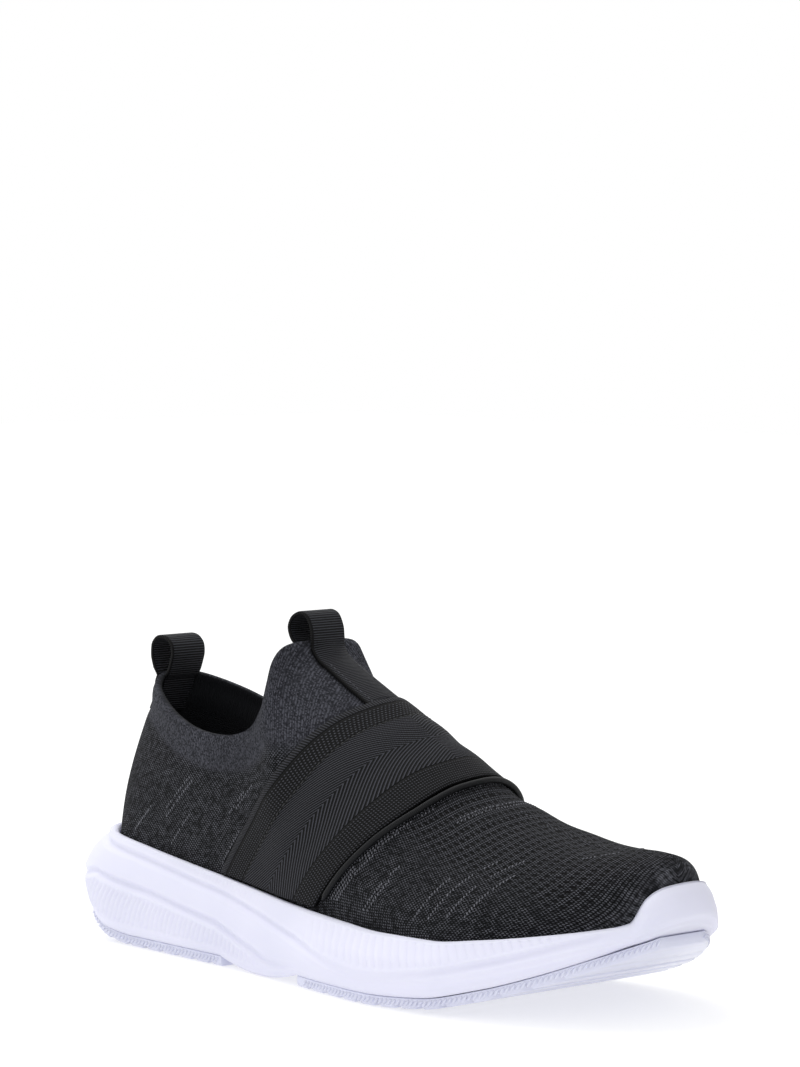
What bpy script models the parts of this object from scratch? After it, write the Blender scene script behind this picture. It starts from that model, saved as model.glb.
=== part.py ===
# Slip-on sneaker, right foot: knitted sock-like upper, elastic instep strap, foam cup sole.
# Metres, +X to the toe, +Y to the inner side of the foot, +Z up, floor at zero.
import math

import bmesh
import bpy
from mathutils import Matrix, Vector
from mathutils.bvhtree import BVHTree

for old in list(bpy.data.objects):
    bpy.data.objects.remove(old, do_unlink=True)

# Driving sizes
SOLE_LENGTH = 0.272
BALL_WIDTH = 0.096
SOLE_HEIGHT = 0.040
SHOE_HEIGHT = 0.113
KNIT_WALL = 0.0022
STRAP_THICKNESS = 0.0014
STRAP_LIFT = 0.0006
AXIS_HEIGHT = 0.046
RIM_CLEAR = 0.0008
CORD_RADIUS = 0.0011
TAPE_WIDTH = 0.0155
TAPE_THICKNESS = 0.0012
RUBBER = 0.0036
LUG_DEPTH = 0.0013
LUG_PITCH = 0.0094
INSOLE_THICKNESS = 0.0032
RIM_WIDTH = 0.0030
GROOVE_DEPTH = 0.0013
GROOVE_HALF = 0.0013
RIB_DEPTH = 0.0005
RIB_PITCH = 0.0048
OUTER_ARCH = -0.0036
INNER_ARCH = 0.0030
GAP = 0.0003
SHEET_CLEAR = 0.0005
SHEET_SAMPLES = (0.0, 0.25, 0.5, 0.75, 1.0)

# Sole outline seen from above: lateral and medial half widths, shares of the ball width.
PLAN = (
    # along, lateral, medial
    (0.000, 0.000, 0.000),
    (0.030, 0.250, 0.215),
    (0.080, 0.325, 0.295),
    (0.160, 0.346, 0.332),
    (0.260, 0.378, 0.335),
    (0.360, 0.408, 0.325),
    (0.460, 0.455, 0.340),
    (0.560, 0.526, 0.395),
    (0.650, 0.566, 0.462),
    (0.740, 0.556, 0.498),
    (0.820, 0.500, 0.485),
    (0.890, 0.412, 0.415),
    (0.950, 0.276, 0.298),
    (0.985, 0.146, 0.186),
    (1.000, -0.030, 0.040),
)

# Sole seen from the side: heights as shares of the sole height, inset of the upper from the outline.
SIDE = (
    # along, rim, footbed, tread, inset
    (0.000, 0.990, 0.640, 0.430, 0.0140),
    (0.050, 0.970, 0.620, 0.170, 0.0125),
    (0.100, 0.935, 0.600, 0.030, 0.0098),
    (0.150, 0.898, 0.580, 0.000, 0.0085),
    (0.200, 0.860, 0.560, 0.000, 0.0078),
    (0.350, 0.740, 0.500, 0.000, 0.0080),
    (0.460, 0.655, 0.445, 0.000, 0.0084),
    (0.560, 0.605, 0.390, 0.000, 0.0108),
    (0.650, 0.575, 0.350, 0.000, 0.0118),
    (0.740, 0.580, 0.335, 0.035, 0.0104),
    (0.820, 0.640, 0.390, 0.155, 0.0084),
    (0.890, 0.710, 0.490, 0.310, 0.0070),
    (0.945, 0.775, 0.620, 0.465, 0.0062),
    (0.972, 0.830, 0.690, 0.550, 0.0052),
    (0.984, 1.030, 0.730, 0.590, 0.0046),
    (0.993, 1.110, 0.765, 0.630, 0.0042),
    (1.000, 1.140, 0.790, 0.670, 0.0040),
)

# Grooves round the sole side: heights as shares of the wall, depths as shares of the groove depth.
GROOVES = (
    # along, low, low_depth, high, high_depth
    (0.000, 0.220, 0.4, 0.880, 1.0),
    (0.030, 0.340, 0.7, 0.880, 1.0),
    (0.080, 0.560, 1.0, 0.880, 1.0),
    (0.180, 0.545, 1.0, 0.865, 1.0),
    (0.270, 0.480, 1.0, 0.830, 1.0),
    (0.350, 0.410, 1.0, 0.790, 1.0),
    (0.410, 0.320, 0.9, 0.740, 1.0),
    (0.460, 0.200, 0.5, 0.660, 1.0),
    (0.520, 0.140, 0.0, 0.520, 0.8),
    (0.590, 0.140, 0.0, 0.370, 0.5),
    (0.660, 0.140, 0.0, 0.320, 0.2),
    (0.750, 0.140, 0.2, 0.430, 0.5),
    (0.860, 0.140, 0.4, 0.560, 0.8),
    (0.940, 0.160, 0.4, 0.690, 0.8),
    (0.970, 0.170, 0.4, 0.720, 0.3),
    (1.000, 0.180, 0.4, 0.720, 0.0),
)

# Side swell of the sole by share of the wall height: how much of the foot's and of the rim's inset it has.
SWELL = (
    # height, foot, rim
    (0.00, 1.00, 0.00),
    (0.12, 0.42, 0.00),
    (0.35, 0.00, 0.02),
    (0.60, 0.00, 0.24),
    (0.85, 0.00, 0.70),
    (1.00, 0.00, 1.00),
)
FOOT_INSET = 0.0028

# Ribs of the upper: where a rib that leaves the rim at one share ends on the crown.
# Along and across are shares of the sole length and ball width, height a share of the shoe height.
# Lean and fold are the rib's first and last angles from upright, out and in, in degrees.
# Rise and reach are how far the rib keeps to them, turn is how far its end follows the rib in plan.
CROWN = (
    # rim, along, across, height, lean, fold, rise, reach, turn
    (1.000, 0.962, 0.010, 0.480, 0, 80, 0.60, 0.55, 1.0),
    (0.985, 0.952, 0.011, 0.480, 0, 82, 0.60, 0.55, 0.9),
    (0.950, 0.926, 0.012, 0.485, 2, 86, 0.58, 0.52, 0.5),
    (0.890, 0.872, 0.014, 0.480, 6, 90, 0.56, 0.46, 0.0),
    (0.820, 0.815, 0.018, 0.490, 8, 90, 0.56, 0.44, 0.0),
    (0.740, 0.742, 0.022, 0.527, 8, 90, 0.56, 0.40, 0.0),
    (0.680, 0.678, 0.026, 0.582, 6, 90, 0.52, 0.36, 0.0),
    (0.630, 0.618, 0.026, 0.653, 5, 90, 0.50, 0.33, 0.0),
    (0.580, 0.550, 0.024, 0.756, 4, 90, 0.46, 0.31, 0.0),
    (0.545, 0.493, 0.020, 0.820, 2, 90, 0.44, 0.30, 0.0),
    (0.515, 0.439, 0.014, 0.880, 0, 90, 0.42, 0.30, 0.0),
    (0.490, 0.401, 0.008, 0.934, 0, 90, 0.38, 0.32, 0.0),
    (0.470, 0.378, 0.004, 0.978, 0, 90, 0.36, 0.34, 0.0),
    (0.456, 0.375, -0.135, 0.983, 0, 64, 0.33, 0.29, 0.0),
    (0.438, 0.370, -0.208, 0.955, 0, 44, 0.32, 0.28, 0.0),
    (0.412, 0.370, -0.243, 0.872, 0, 31, 0.31, 0.27, 0.1),
    (0.376, 0.372, -0.260, 0.775, 0, 20, 0.30, 0.27, 0.5),
    (0.328, 0.350, -0.275, 0.706, 0, 12, 0.32, 0.28, 0.9),
    (0.266, 0.292, -0.280, 0.686, 0, 10, 0.36, 0.30, 1.0),
    (0.195, 0.226, -0.270, 0.712, 0, 12, 0.36, 0.30, 1.0),
    (0.130, 0.174, -0.230, 0.765, 0, 14, 0.36, 0.30, 1.0),
    (0.070, 0.134, -0.165, 0.805, 0, 16, 0.36, 0.30, 1.0),
    (0.025, 0.112, -0.088, 0.830, 2, 16, 0.36, 0.30, 1.0),
    (0.000, 0.104, 0.000, 0.838, 2, 16, 0.36, 0.30, 1.0),
)
TAB_TIP = 0.470
TAB_STATIONS = (0.408, 0.428, 0.446, 0.460, TAB_TIP, 0.486, 0.505)

# Strap edges on the upper: shares of the sole length at the rear and the front edge,
# by share of the turn up to the ridge.
STRAP = (
    # way, rear, front
    (0.00, 0.322, 0.516),
    (0.14, 0.345, 0.552),
    (0.28, 0.369, 0.591),
    (0.40, 0.393, 0.618),
    (0.50, 0.418, 0.632),
    (0.62, 0.443, 0.640),
    (0.76, 0.468, 0.645),
    (0.90, 0.487, 0.649),
    (1.00, 0.494, 0.650),
)

# The free part of a folded tape over an edge: out and up, shares of the loop's width and height.
FOLD = (
    # out, up
    (0.30, 0.16),
    (0.50, 0.42),
    (0.57, 0.68),
    (0.42, 0.92),
    (0.10, 1.00),
    (-0.20, 0.90),
    (-0.33, 0.62),
    (-0.32, 0.34),
    (-0.28, 0.14),
)
LOOP_WIDTH = 0.0120
HEEL_LOOP_HEIGHT = 0.0142
TONGUE_LOOP_HEIGHT = 0.0142

LOOKS = {
    # name: colour, roughness
    "knit": ((0.024, 0.026, 0.030), 0.92),
    "elastic": ((0.012, 0.012, 0.014), 0.80),
    "cord": ((0.022, 0.023, 0.027), 0.45),
    "tape": ((0.020, 0.021, 0.025), 0.75),
    "foam": ((0.860, 0.860, 0.930), 0.55),
    "rubber": ((0.780, 0.800, 0.850), 0.30),
    "sock": ((0.010, 0.010, 0.012), 0.95),
}

# Named places along the shoe
HEEL_PAD = (0.035, 0.335)
TOE_PAD = (0.500, 0.992)
RIBBED_TO = 0.42
BAND_RIBBED_TO = 0.34
RIM_STATIONS = 30
RIB_ROWS = 8
RELAX_STEPS = 3


def slopes(xs, ys):
    """Slopes at the points of a curve through a table that doesn't overshoot."""
    steps = [(ys[i + 1] - ys[i]) / (xs[i + 1] - xs[i]) for i in range(len(xs) - 1)]
    out = [steps[0]]
    for a, b in zip(steps, steps[1:]):
        out.append(0.0 if a * b <= 0 else 2 * a * b / (a + b))
    out.append(steps[-1])
    return out


def smooth(table, column, at, turn=lambda value: value):
    """Reads a column of a table at a share, on a smooth curve through its rows."""
    rows = sorted(table)
    xs = [turn(row[0]) for row in rows]
    ys = [row[column] for row in rows]
    x = min(max(turn(at), xs[0]), xs[-1])
    ms = slopes(xs, ys)
    i = max(k for k in range(len(xs) - 1) if xs[k] <= x)
    h = xs[i + 1] - xs[i]
    s = (x - xs[i]) / h
    a = (1 + 2 * s) * (1 - s) ** 2 * ys[i] + s * (1 - s) ** 2 * h * ms[i]
    return a + s * s * (3 - 2 * s) * ys[i + 1] + s * s * (s - 1) * h * ms[i + 1]


def round_end(share):
    """Turns a share of the length into an angle, so that both ends of an outline come out round."""
    return math.acos(1 - 2 * min(max(share, 0.0), 1.0))


def edge(share, side):
    """A point of the widest outline: side is -1 for lateral and 1 for medial."""
    column = 1 if side < 0 else 2
    width = smooth(PLAN, column, share, round_end) * BALL_WIDTH
    return Vector(((share - 0.5) * SOLE_LENGTH, side * width, 0))


def outward(share, side):
    """The outline's unit normal in plan."""
    turn = round_end(share) / math.pi
    small = 0.004
    low, high = max(turn - small, 0.0), min(turn + small, 1.0)

    def place(t):
        return edge(0.5 - 0.5 * math.cos(math.pi * t), side)

    if turn < small:
        return Vector((-1, 0, 0))
    if turn > 1 - small:
        return Vector((1, 0, 0))
    along = place(high) - place(low)
    return Vector((along.y * side * -1, along.x * side, 0)).normalized()


def inset_point(share, side, inset, height):
    point = edge(share, side) - outward(share, side) * inset
    point.z = height
    return point


def level(column, share):
    return smooth(SIDE, column, share) * SOLE_HEIGHT


def rim_height(share):
    return level(1, share)


def footbed(share):
    return level(2, share)


def tread(share):
    """Underside of the rubber."""
    return max(level(3, share), 0.0)


def arch(share, side):
    """Between the two rubber pads the foam comes down outside and stands up inside."""
    rise = OUTER_ARCH if side < 0 else INNER_ARCH
    middle = 0.5 * (HEEL_PAD[1] + TOE_PAD[0])
    half = 0.5 * (TOE_PAD[0] - HEEL_PAD[1])
    return rise * max(0.0, 1 - ((share - middle) / half) ** 2)


def foam_bottom(share, side):
    return tread(share) + RUBBER + GAP + arch(share, side)


def upper_inset(share):
    return smooth(SIDE, 4, share)


def material(name):
    colour, roughness = LOOKS[name]
    made = bpy.data.materials.new(name)
    made.use_nodes = True
    shader = made.node_tree.nodes["Principled BSDF"]
    shader.inputs["Base Color"].default_value = (*colour, 1)
    shader.inputs["Roughness"].default_value = roughness
    return made


shoe = bpy.data.collections.new("slip_on_sneaker")
bpy.context.scene.collection.children.link(shoe)


def solid(name, points, faces, look, weld=0.00002):
    """One named closed mesh in the shoe's collection."""
    mesh = bpy.data.meshes.new(name)
    mesh.from_pydata([tuple(p) for p in points], [], faces)
    made = bpy.data.objects.new(name, mesh)
    shoe.objects.link(made)
    work = bmesh.new()
    work.from_mesh(mesh)
    bmesh.ops.remove_doubles(work, verts=work.verts, dist=weld)
    bmesh.ops.recalc_face_normals(work, faces=work.faces)
    for face in work.faces:
        face.smooth = True
    work.to_mesh(mesh)
    work.free()
    mesh.materials.append(material(look))
    return made


def loft(rings, closed=True):
    """Faces between rings that hold the same number of points."""
    count = len(rings[0])
    last = count if closed else count - 1
    faces = []
    for r in range(len(rings) - 1):
        for i in range(last):
            j = (i + 1) % count
            a, b = r * count, (r + 1) * count
            faces.append((a + i, a + j, b + j, b + i))
    return faces


def ladder(first, middle, count):
    """Faces that close a ring over a row of middle points, from its first point round to its last."""
    half = count // 2
    faces = []
    for i in range(half):
        a, b = first + i, first + i + 1
        m, n = middle + i, middle + i + 1
        faces.append((a, b, n, m))
        c, d = first + (count - i) % count, first + (count - i - 1) % count
        faces.append((c, m, n, d))
    return faces


def rim_shares(ribbed):
    """Shares round one side, heel to toe. The ribbed list is spaced for the ribs at the heel."""
    turns = [i / RIM_STATIONS for i in range(RIM_STATIONS + 1)]
    plain = [0.5 - 0.5 * math.cos(math.pi * t) for t in turns]
    plain = [s for s in plain if not TAB_STATIONS[0] - 0.01 < s < TAB_STATIONS[-1] + 0.01]
    plain = sorted(plain + list(TAB_STATIONS))
    if not ribbed:
        return plain
    shares, share = [0.0], 0.0
    while share < RIBBED_TO:
        here = edge(share, -1)
        ahead = share
        while (edge(ahead, -1) - here).length < RIB_PITCH / 2:
            ahead += 0.0004
        share = ahead
        shares.append(share)
    return shares + [s for s in plain if s > share + 0.004]


def around(shares, make):
    """A closed ring: lateral side from heel to toe, then the medial side back to the heel."""
    ring = [make(share, -1, i) for i, share in enumerate(shares)]
    back = list(enumerate(shares))[1:-1]
    return ring + [make(share, 1, i) for i, share in reversed(back)]


def side_inset(share, height_share):
    foot, rim = smooth(SWELL, 1, height_share), smooth(SWELL, 2, height_share)
    return foot * FOOT_INSET + rim * (upper_inset(share) - RIM_WIDTH)


def wall_ring(share, side, index, level_name):
    """One point of the sole side on a named level."""
    low, low_deep, high, high_deep = (smooth(GROOVES, k, share) for k in (1, 2, 3, 4))
    bottom, top = foam_bottom(share, side), rim_height(share)
    wall = top - bottom
    half = GROOVE_HALF / wall
    places = {
        "foot": (0.0, 0.0),
        "ledge": (0.12, 0.0),
        "low_lip": (low - half, 0.0),
        "low": (low, low_deep),
        "low_brow": (low + half, 0.0),
        "belly": (0.5 * (low + high), 0.0),
        "high_lip": (high - half, 0.0),
        "high": (high, high_deep),
        "high_brow": (high + half, 0.0),
        "shoulder": (0.955, 0.0),
    }
    spot, deep = places[level_name]
    if level_name == "ledge":
        spot = min(spot, 0.5 * (low - half))
    inset = side_inset(share, spot) + deep * GROOVE_DEPTH
    odd = index % 2 == 1
    if odd and share < RIBBED_TO and level_name in ("ledge", "low_lip"):
        inset += RIB_DEPTH
    if odd and share < BAND_RIBBED_TO and level_name in ("high_brow", "shoulder"):
        inset += 0.7 * RIB_DEPTH
    return inset_point(share, side, inset, bottom + wall * spot)


WALL_LEVELS = (
    "foot",
    "ledge",
    "low_lip",
    "low",
    "low_brow",
    "belly",
    "high_lip",
    "high",
    "high_brow",
    "shoulder",
)


def midsole():
    shares = rim_shares(True)

    def rim_outer(share, side, index):
        return inset_point(share, side, upper_inset(share) - RIM_WIDTH * 0.85, rim_height(share))

    def rim_inner(share, side, index):
        return inset_point(share, side, upper_inset(share) - GAP, rim_height(share))

    def floor_edge(share, side, index):
        return inset_point(share, side, upper_inset(share) - GAP, footbed(share))

    rings = []
    for name in WALL_LEVELS:
        rings.append(around(shares, lambda s, side, i, name=name: wall_ring(s, side, i, name)))
    rings.append(around(shares, rim_outer))
    rings.append(around(shares, rim_inner))
    rings.append(around(shares, floor_edge))
    count = len(rings[0])
    points = [p for ring in rings for p in ring]
    faces = loft(rings)
    for ring in (0, len(rings) - 1):
        start = ring * count
        middle = len(points)
        half = count // 2
        row = rings[ring]
        points += [0.5 * (row[i] + row[(count - i) % count]) for i in range(half + 1)]
        faces += ladder(start, middle, count)
    return solid("midsole", points, faces, "foam")


def crown_point(rim, side):
    """Where the rib from this rim share ends, on the ridge or on the collar."""
    along, across, height = (smooth(CROWN, k, rim, round_end) for k in (1, 2, 3))
    ridge = smooth(CROWN, 2, TAB_TIP, round_end)
    y = across * BALL_WIDTH
    if rim < TAB_TIP:
        y = (ridge - side * (across - ridge)) * BALL_WIDTH
    return Vector(((along - 0.5) * SOLE_LENGTH, y, height * SHOE_HEIGHT))


def rib_point(rim, side, way):
    """A point of the upper's outer face: way runs from the rim to the crown."""
    start = inset_point(rim, side, upper_inset(rim), rim_height(rim) - 0.001)
    end = crown_point(rim, side)
    lean, fold, rise, reach, turn = (smooth(CROWN, k, rim, round_end) for k in (4, 5, 6, 7, 8))
    lean, fold = math.radians(lean), math.radians(fold)
    inward = Vector((end.x - start.x, end.y - start.y, 0)).normalized()
    up = Vector((0, 0, 1))
    first = (up * math.cos(lean) - inward * math.sin(lean)) * (end.z - start.z) * rise
    chord = (end - start).length
    final = Vector((inward.x * turn, inward.y, 0)).normalized()
    last = (up * math.cos(fold) + final * math.sin(fold)) * chord * reach
    b, c = start + first, end - last
    w, v = way, 1 - way
    point = start * v**3 + b * 3 * v * v * w + c * 3 * v * w * w + end * w**3
    return point


def rib_normal(rim, side, way):
    """Outward normal of the upper's outer face."""
    small = 0.004
    low, high = max(way - small, 0.0), min(way + small, 1.0)
    up = rib_point(rim, side, high) - rib_point(rim, side, low)
    back, ahead = max(rim - small, 0.0), min(rim + small, 1.0)
    along = rib_point(ahead, side, way) - rib_point(back, side, way)
    normal = along.cross(up) * (-side)
    if rim < small or (way > 1 - small and rim > TAB_TIP):
        normal.y = 0.0
    return normal.normalized()


def relaxed(rings):
    """Eases the points between the first and last ring towards their neighbours, as knit would settle."""
    count = len(rings[0])
    for _ in range(RELAX_STEPS):
        eased = [rings[0]]
        for r in range(1, len(rings) - 1):
            row = []
            for i in range(count):
                beside = rings[r][i - 1] + rings[r][(i + 1) % count]
                row.append(0.5 * rings[r][i] + 0.125 * (beside + rings[r - 1][i] + rings[r + 1][i]))
            eased.append(row)
        rings = eased + [rings[-1]]
    return rings


def upper():
    """The knitted sock: its outer face by ribs, the wall laid inside it."""
    shares = rim_shares(False)
    ways = [i / RIB_ROWS for i in range(RIB_ROWS + 1)]

    def hem(share, side, index):
        return inset_point(share, side, upper_inset(share), footbed(share) + GAP)

    ribs = [around(shares, lambda s, side, i, way=way: rib_point(s, side, way)) for way in ways]
    rings = [around(shares, hem)] + relaxed(ribs)
    points = [p for ring in rings for p in ring]
    made = solid("upper", points, loft(rings), "knit", weld=0.0001)
    wall = made.modifiers.new("wall", "SOLIDIFY")
    wall.thickness = KNIT_WALL
    wall.offset = -1
    wall.use_even_offset = False
    wall.use_rim = True
    return made


def face_of(made):
    """The finished surface of a piece, to lay other pieces on."""
    return BVHTree.FromObject(made, bpy.context.evaluated_depsgraph_get())


def on_upper(tree, along, side, way, lift):
    """The upper's face at a share of the length, seen from the foot's middle line.

    The way turns from the rim, 0, to the ridge, 1.
    """
    rim = inset_point(along, side, upper_inset(along), rim_height(along) + RIM_CLEAR)
    widest = math.atan2(abs(rim.y), rim.z - AXIS_HEIGHT)
    turn = side * widest * (1 - way)
    aim = Vector((0, math.sin(turn), math.cos(turn)))
    middle = Vector(((along - 0.5) * SOLE_LENGTH, 0, AXIS_HEIGHT))
    place, normal, _, _ = tree.ray_cast(middle + aim * BALL_WIDTH, -aim)
    return place + normal * lift


def raised_clear(tree, points, wide):
    """Raises the points of a sheet until its faces clear the form under them."""
    for _ in range(4):
        outs = [tree.find_nearest(p)[1] for p in points]
        lifts = [0.0] * len(points)
        for k in range(len(points) // wide - 1):
            for i in range(wide - 1):
                a = k * wide + i
                corners = (a, a + 1, a + wide, a + wide + 1)
                p, q, r, s = (points[c] for c in corners)
                spots = [p.lerp(s, u) for u in SHEET_SAMPLES] + [q.lerp(r, u) for u in SHEET_SAMPLES]
                for u in SHEET_SAMPLES:
                    spots += [p.lerp(q, u).lerp(r.lerp(s, u), v) for v in SHEET_SAMPLES]
                for spot in spots:
                    place, normal, _, _ = tree.find_nearest(spot)
                    need = SHEET_CLEAR - (spot - place).dot(normal)
                    for c in corners:
                        lifts[c] = max(lifts[c], need)
        points = [p + n * lift for p, n, lift in zip(points, outs, lifts)]
    return points


def strap(tree):
    """Flat elastic over the instep, from rim to rim."""
    across, rows = 6, 14
    base = 0.022
    points = []
    for k in range(-rows, rows + 1):
        side = -1 if k <= 0 else 1
        way = 1 - abs(k) / rows * (1 - base)
        rear, front = smooth(STRAP, 1, way), smooth(STRAP, 2, way)
        for i in range(across + 1):
            along = rear + (front - rear) * i / across
            points.append(on_upper(tree, along, side, way, STRAP_LIFT))
    wide = across + 1
    points = raised_clear(tree, points, wide)
    faces = []
    for k in range(2 * rows):
        for i in range(across):
            a = k * wide + i
            faces.append((a, a + 1, a + wide + 1, a + wide))
    made = solid("instep_strap", points, faces, "elastic")
    top = max(made.data.polygons, key=lambda face: face.center.z)
    if top.normal.z < 0:
        made.data.flip_normals()
    cloth = made.modifiers.new("cloth", "SOLIDIFY")
    cloth.thickness = STRAP_THICKNESS
    cloth.offset = 1
    return made


def tube(name, path, radius, look):
    """A round cord along a path, closed at both ends."""
    curve = bpy.data.curves.new(name, "CURVE")
    curve.dimensions = "3D"
    curve.bevel_depth = radius
    curve.bevel_resolution = 1
    curve.use_fill_caps = True
    line = curve.splines.new("POLY")
    line.points.add(len(path) - 1)
    for point, place in zip(line.points, path):
        point.co = (*place, 1)
    drawn = bpy.data.objects.new(name + "_path", curve)
    shoe.objects.link(drawn)
    bpy.context.view_layer.update()
    mesh = bpy.data.meshes.new_from_object(drawn.evaluated_get(bpy.context.evaluated_depsgraph_get()))
    bpy.data.objects.remove(drawn, do_unlink=True)
    points = [v.co.copy() for v in mesh.vertices]
    faces = [tuple(p.vertices) for p in mesh.polygons]
    bpy.data.meshes.remove(mesh)
    return solid(name, points, faces, look)


def piping(tree):
    """The cord along the front edge of the strap."""
    rows = 18
    base = 0.040
    ahead = 2.1 * CORD_RADIUS / SOLE_LENGTH
    path = []
    for k in range(-rows, rows + 1):
        side = -1 if k <= 0 else 1
        way = 1 - abs(k) / rows * (1 - base)
        along = smooth(STRAP, 2, way) + ahead
        path.append(on_upper(tree, along, side, way, CORD_RADIUS + 1.5 * GAP))
    return tube("strap_piping", path, CORD_RADIUS, "cord")


TAPE_SHARES = (-1.0, -0.5, 0.0, 0.5, 1.0)
TAPE_LIFT = 0.0006


def laid(tree, place, normal, inner):
    """One section of a tape that lies on the wall: its near and far faces, found on the wall itself."""
    near, far = [], []
    sense = -1 if inner else 1
    depth = 0.0
    order = sorted(range(len(TAPE_SHARES)), key=lambda k: abs(TAPE_SHARES[k]))
    found = {}
    for k in order:
        y = TAPE_SHARES[k] * TAPE_WIDTH / 2
        start = place + Vector((0, y, 0)) + normal * 0.012 * sense
        hit = tree.ray_cast(start, -normal * sense, 0.03)[0]
        if hit is not None:
            depth = (hit - place - Vector((0, y, 0))).dot(normal)
        found[k] = place + Vector((0, y, 0)) + normal * depth
    for k in range(len(TAPE_SHARES)):
        near.append(found[k] + normal * sense * TAPE_LIFT)
        far.append(found[k] + normal * sense * (TAPE_LIFT + TAPE_THICKNESS))
    return near, far


def free_sections(outer, inner, height):
    """The part of a tape that stands over the edge between its two legs."""
    first = sum((p for p in outer[0] + outer[1]), Vector()) / (2 * len(TAPE_SHARES))
    last = sum((p for p in inner[0] + inner[1]), Vector()) / (2 * len(TAPE_SHARES))
    middle = 0.5 * (first + last)
    out = (first - last).normalized()
    up = Vector((-out.z, 0, out.x))
    if up.z < 0:
        up = -up
    line = [middle + out * o * LOOP_WIDTH + up * u * height for o, u in bend(FOLD, 2)]
    sections = []
    for i, place in enumerate(line):
        along = (line[min(i + 1, len(line) - 1)] - line[max(i - 1, 0)]).normalized()
        away = Vector((-along.z, 0, along.x))
        if away.dot(place - (middle + up * 0.5 * height)) < 0:
            away = -away
        rows = []
        for face in (-0.5, 0.5):
            centre = place + away * face * TAPE_THICKNESS
            rows.append([centre + Vector((0, s * TAPE_WIDTH / 2, 0)) for s in TAPE_SHARES])
        sections.append(tuple(rows))
    return sections


def tape(name, sections):
    """A flat tape through its sections, each a near and a far row of points."""
    points, faces = [], []
    for near, far in sections:
        points += near + list(reversed(far))
    count = 2 * len(TAPE_SHARES)
    for i in range(len(sections) - 1):
        for k in range(count):
            a, b = count * i + k, count * i + (k + 1) % count
            faces.append((a, b, b + count, a + count))
    for start in (0, count * (len(sections) - 1)):
        for k in range(len(TAPE_SHARES) - 1):
            a, b = start + k, start + count - 1 - k
            faces.append((a, a + 1, b - 1, b))
    return solid(name, points, faces, "tape")


def bend(points, per):
    """A smooth line through points, with a number of steps between each two."""
    keys = [(float(i), p[0], p[1]) for i, p in enumerate(points)]
    out = []
    for i in range((len(points) - 1) * per + 1):
        at = i / per
        out.append((smooth(keys, 1, at), smooth(keys, 2, at)))
    return out


def heel_loop(tree):
    """Both legs hang at the middle of the heel, one outside and one inside."""
    outer, inner = [], []
    for i in range(5):
        way = 0.74 + 0.23 * i / 4
        place, normal = rib_point(0.0, -1, way), rib_normal(0.0, -1, way)
        outer.append(laid(tree, place, normal, False))
        inner.append(laid(tree, place, normal, True))
    inner.reverse()
    return tape("heel_loop", outer + free_sections(outer[-1], inner[0], HEEL_LOOP_HEIGHT) + inner)


def tongue_loop(tree):
    """One leg lies down the tab to the strap, the loop stands over the tip, the other leg is inside."""
    start = smooth(STRAP, 1, 1.0) - 0.0035
    tip = smooth(CROWN, 1, TAB_TIP) + 0.011
    steps = 9
    outer, inner = [], []
    for i in range(steps + 1):
        along = start + (tip - start) * i / steps
        place = on_upper(tree, along, -1, 1.0, 0.0)
        before = on_upper(tree, along + 0.004, -1, 1.0, 0.0)
        place.y = before.y = 0.0
        slope = (place - before).normalized()
        normal = Vector((-slope.z, 0, slope.x))
        if normal.z < 0:
            normal = -normal
        outer.append(laid(tree, place, normal, False))
        if i > steps - 4:
            inner.append(laid(tree, place, normal, True))
    inner.reverse()
    return tape("tongue_loop", outer + free_sections(outer[-1], inner[0], TONGUE_LOOP_HEIGHT) + inner)


def insole():
    """Foam sock on the footbed, inside the knit."""
    shares = rim_shares(False)
    clear = KNIT_WALL + 2 * GAP

    def ring(lift, inset):
        def make(share, side, index):
            return inset_point(share, side, upper_inset(share) + clear + inset, footbed(share) + lift)

        return around(shares, make)

    rings = [ring(GAP, 0.0006), ring(INSOLE_THICKNESS * 0.75, 0.0), ring(INSOLE_THICKNESS, 0.0008)]
    count = len(rings[0])
    points = [p for r in rings for p in r]
    faces = loft(rings)
    for r in (0, len(rings) - 1):
        middle = len(points)
        row = rings[r]
        points += [0.5 * (row[i] + row[(count - i) % count]) for i in range(count // 2 + 1)]
        faces += ladder(r * count, middle, count)
    return solid("insole", points, faces, "sock")


def rubber_pad(name, span, first_lug):
    """A rubber sheet under the foam, with lugs across it."""
    rows = []
    share = span[0]
    pitch = LUG_PITCH / SOLE_LENGTH
    slot = 0.26 * pitch
    lug_end = first_lug
    while share < lug_end - 0.004:
        rows.append((share, False))
        share += 0.006
    while lug_end < span[1] - 0.4 * pitch:
        for at, cut in ((0.0, False), (0.3, True), (1.0, True), (1.3, False)):
            rows.append((lug_end + at * slot, cut))
        lug_end += pitch
    rows.append((span[1], False))
    ring_rows = []
    for at, cut in rows:
        inset = side_inset(at, 0.0) + 0.0004
        left, right = inset_point(at, -1, inset, 0), inset_point(at, 1, inset, 0)
        chamfer = 0.0012
        floor = tread(at) + (LUG_DEPTH if cut else 0.0)
        top = tread(at) + RUBBER
        shares = (0.0, 0.25, 0.5, 0.75, 1.0)
        low = []
        for s in shares:
            p = left.lerp(right, s)
            if s == 0.0:
                p = p + (right - left).normalized() * chamfer
            if s == 1.0:
                p = p - (right - left).normalized() * chamfer
            low.append(Vector((p.x, p.y, floor)))
        sides_l = Vector((left.x, left.y, floor + chamfer))
        sides_r = Vector((right.x, right.y, floor + chamfer))
        high = [Vector((left.lerp(right, s).x, left.lerp(right, s).y, top)) for s in reversed(shares)]
        ring_rows.append(low + [sides_r] + high + [sides_l])
    count = len(ring_rows[0])
    points = [p for ring in ring_rows for p in ring]
    faces = loft(ring_rows)
    faces.append(tuple(reversed(range(count))))
    last = (len(ring_rows) - 1) * count
    faces.append(tuple(last + i for i in range(count)))
    return solid(name, points, faces, "rubber")


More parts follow.
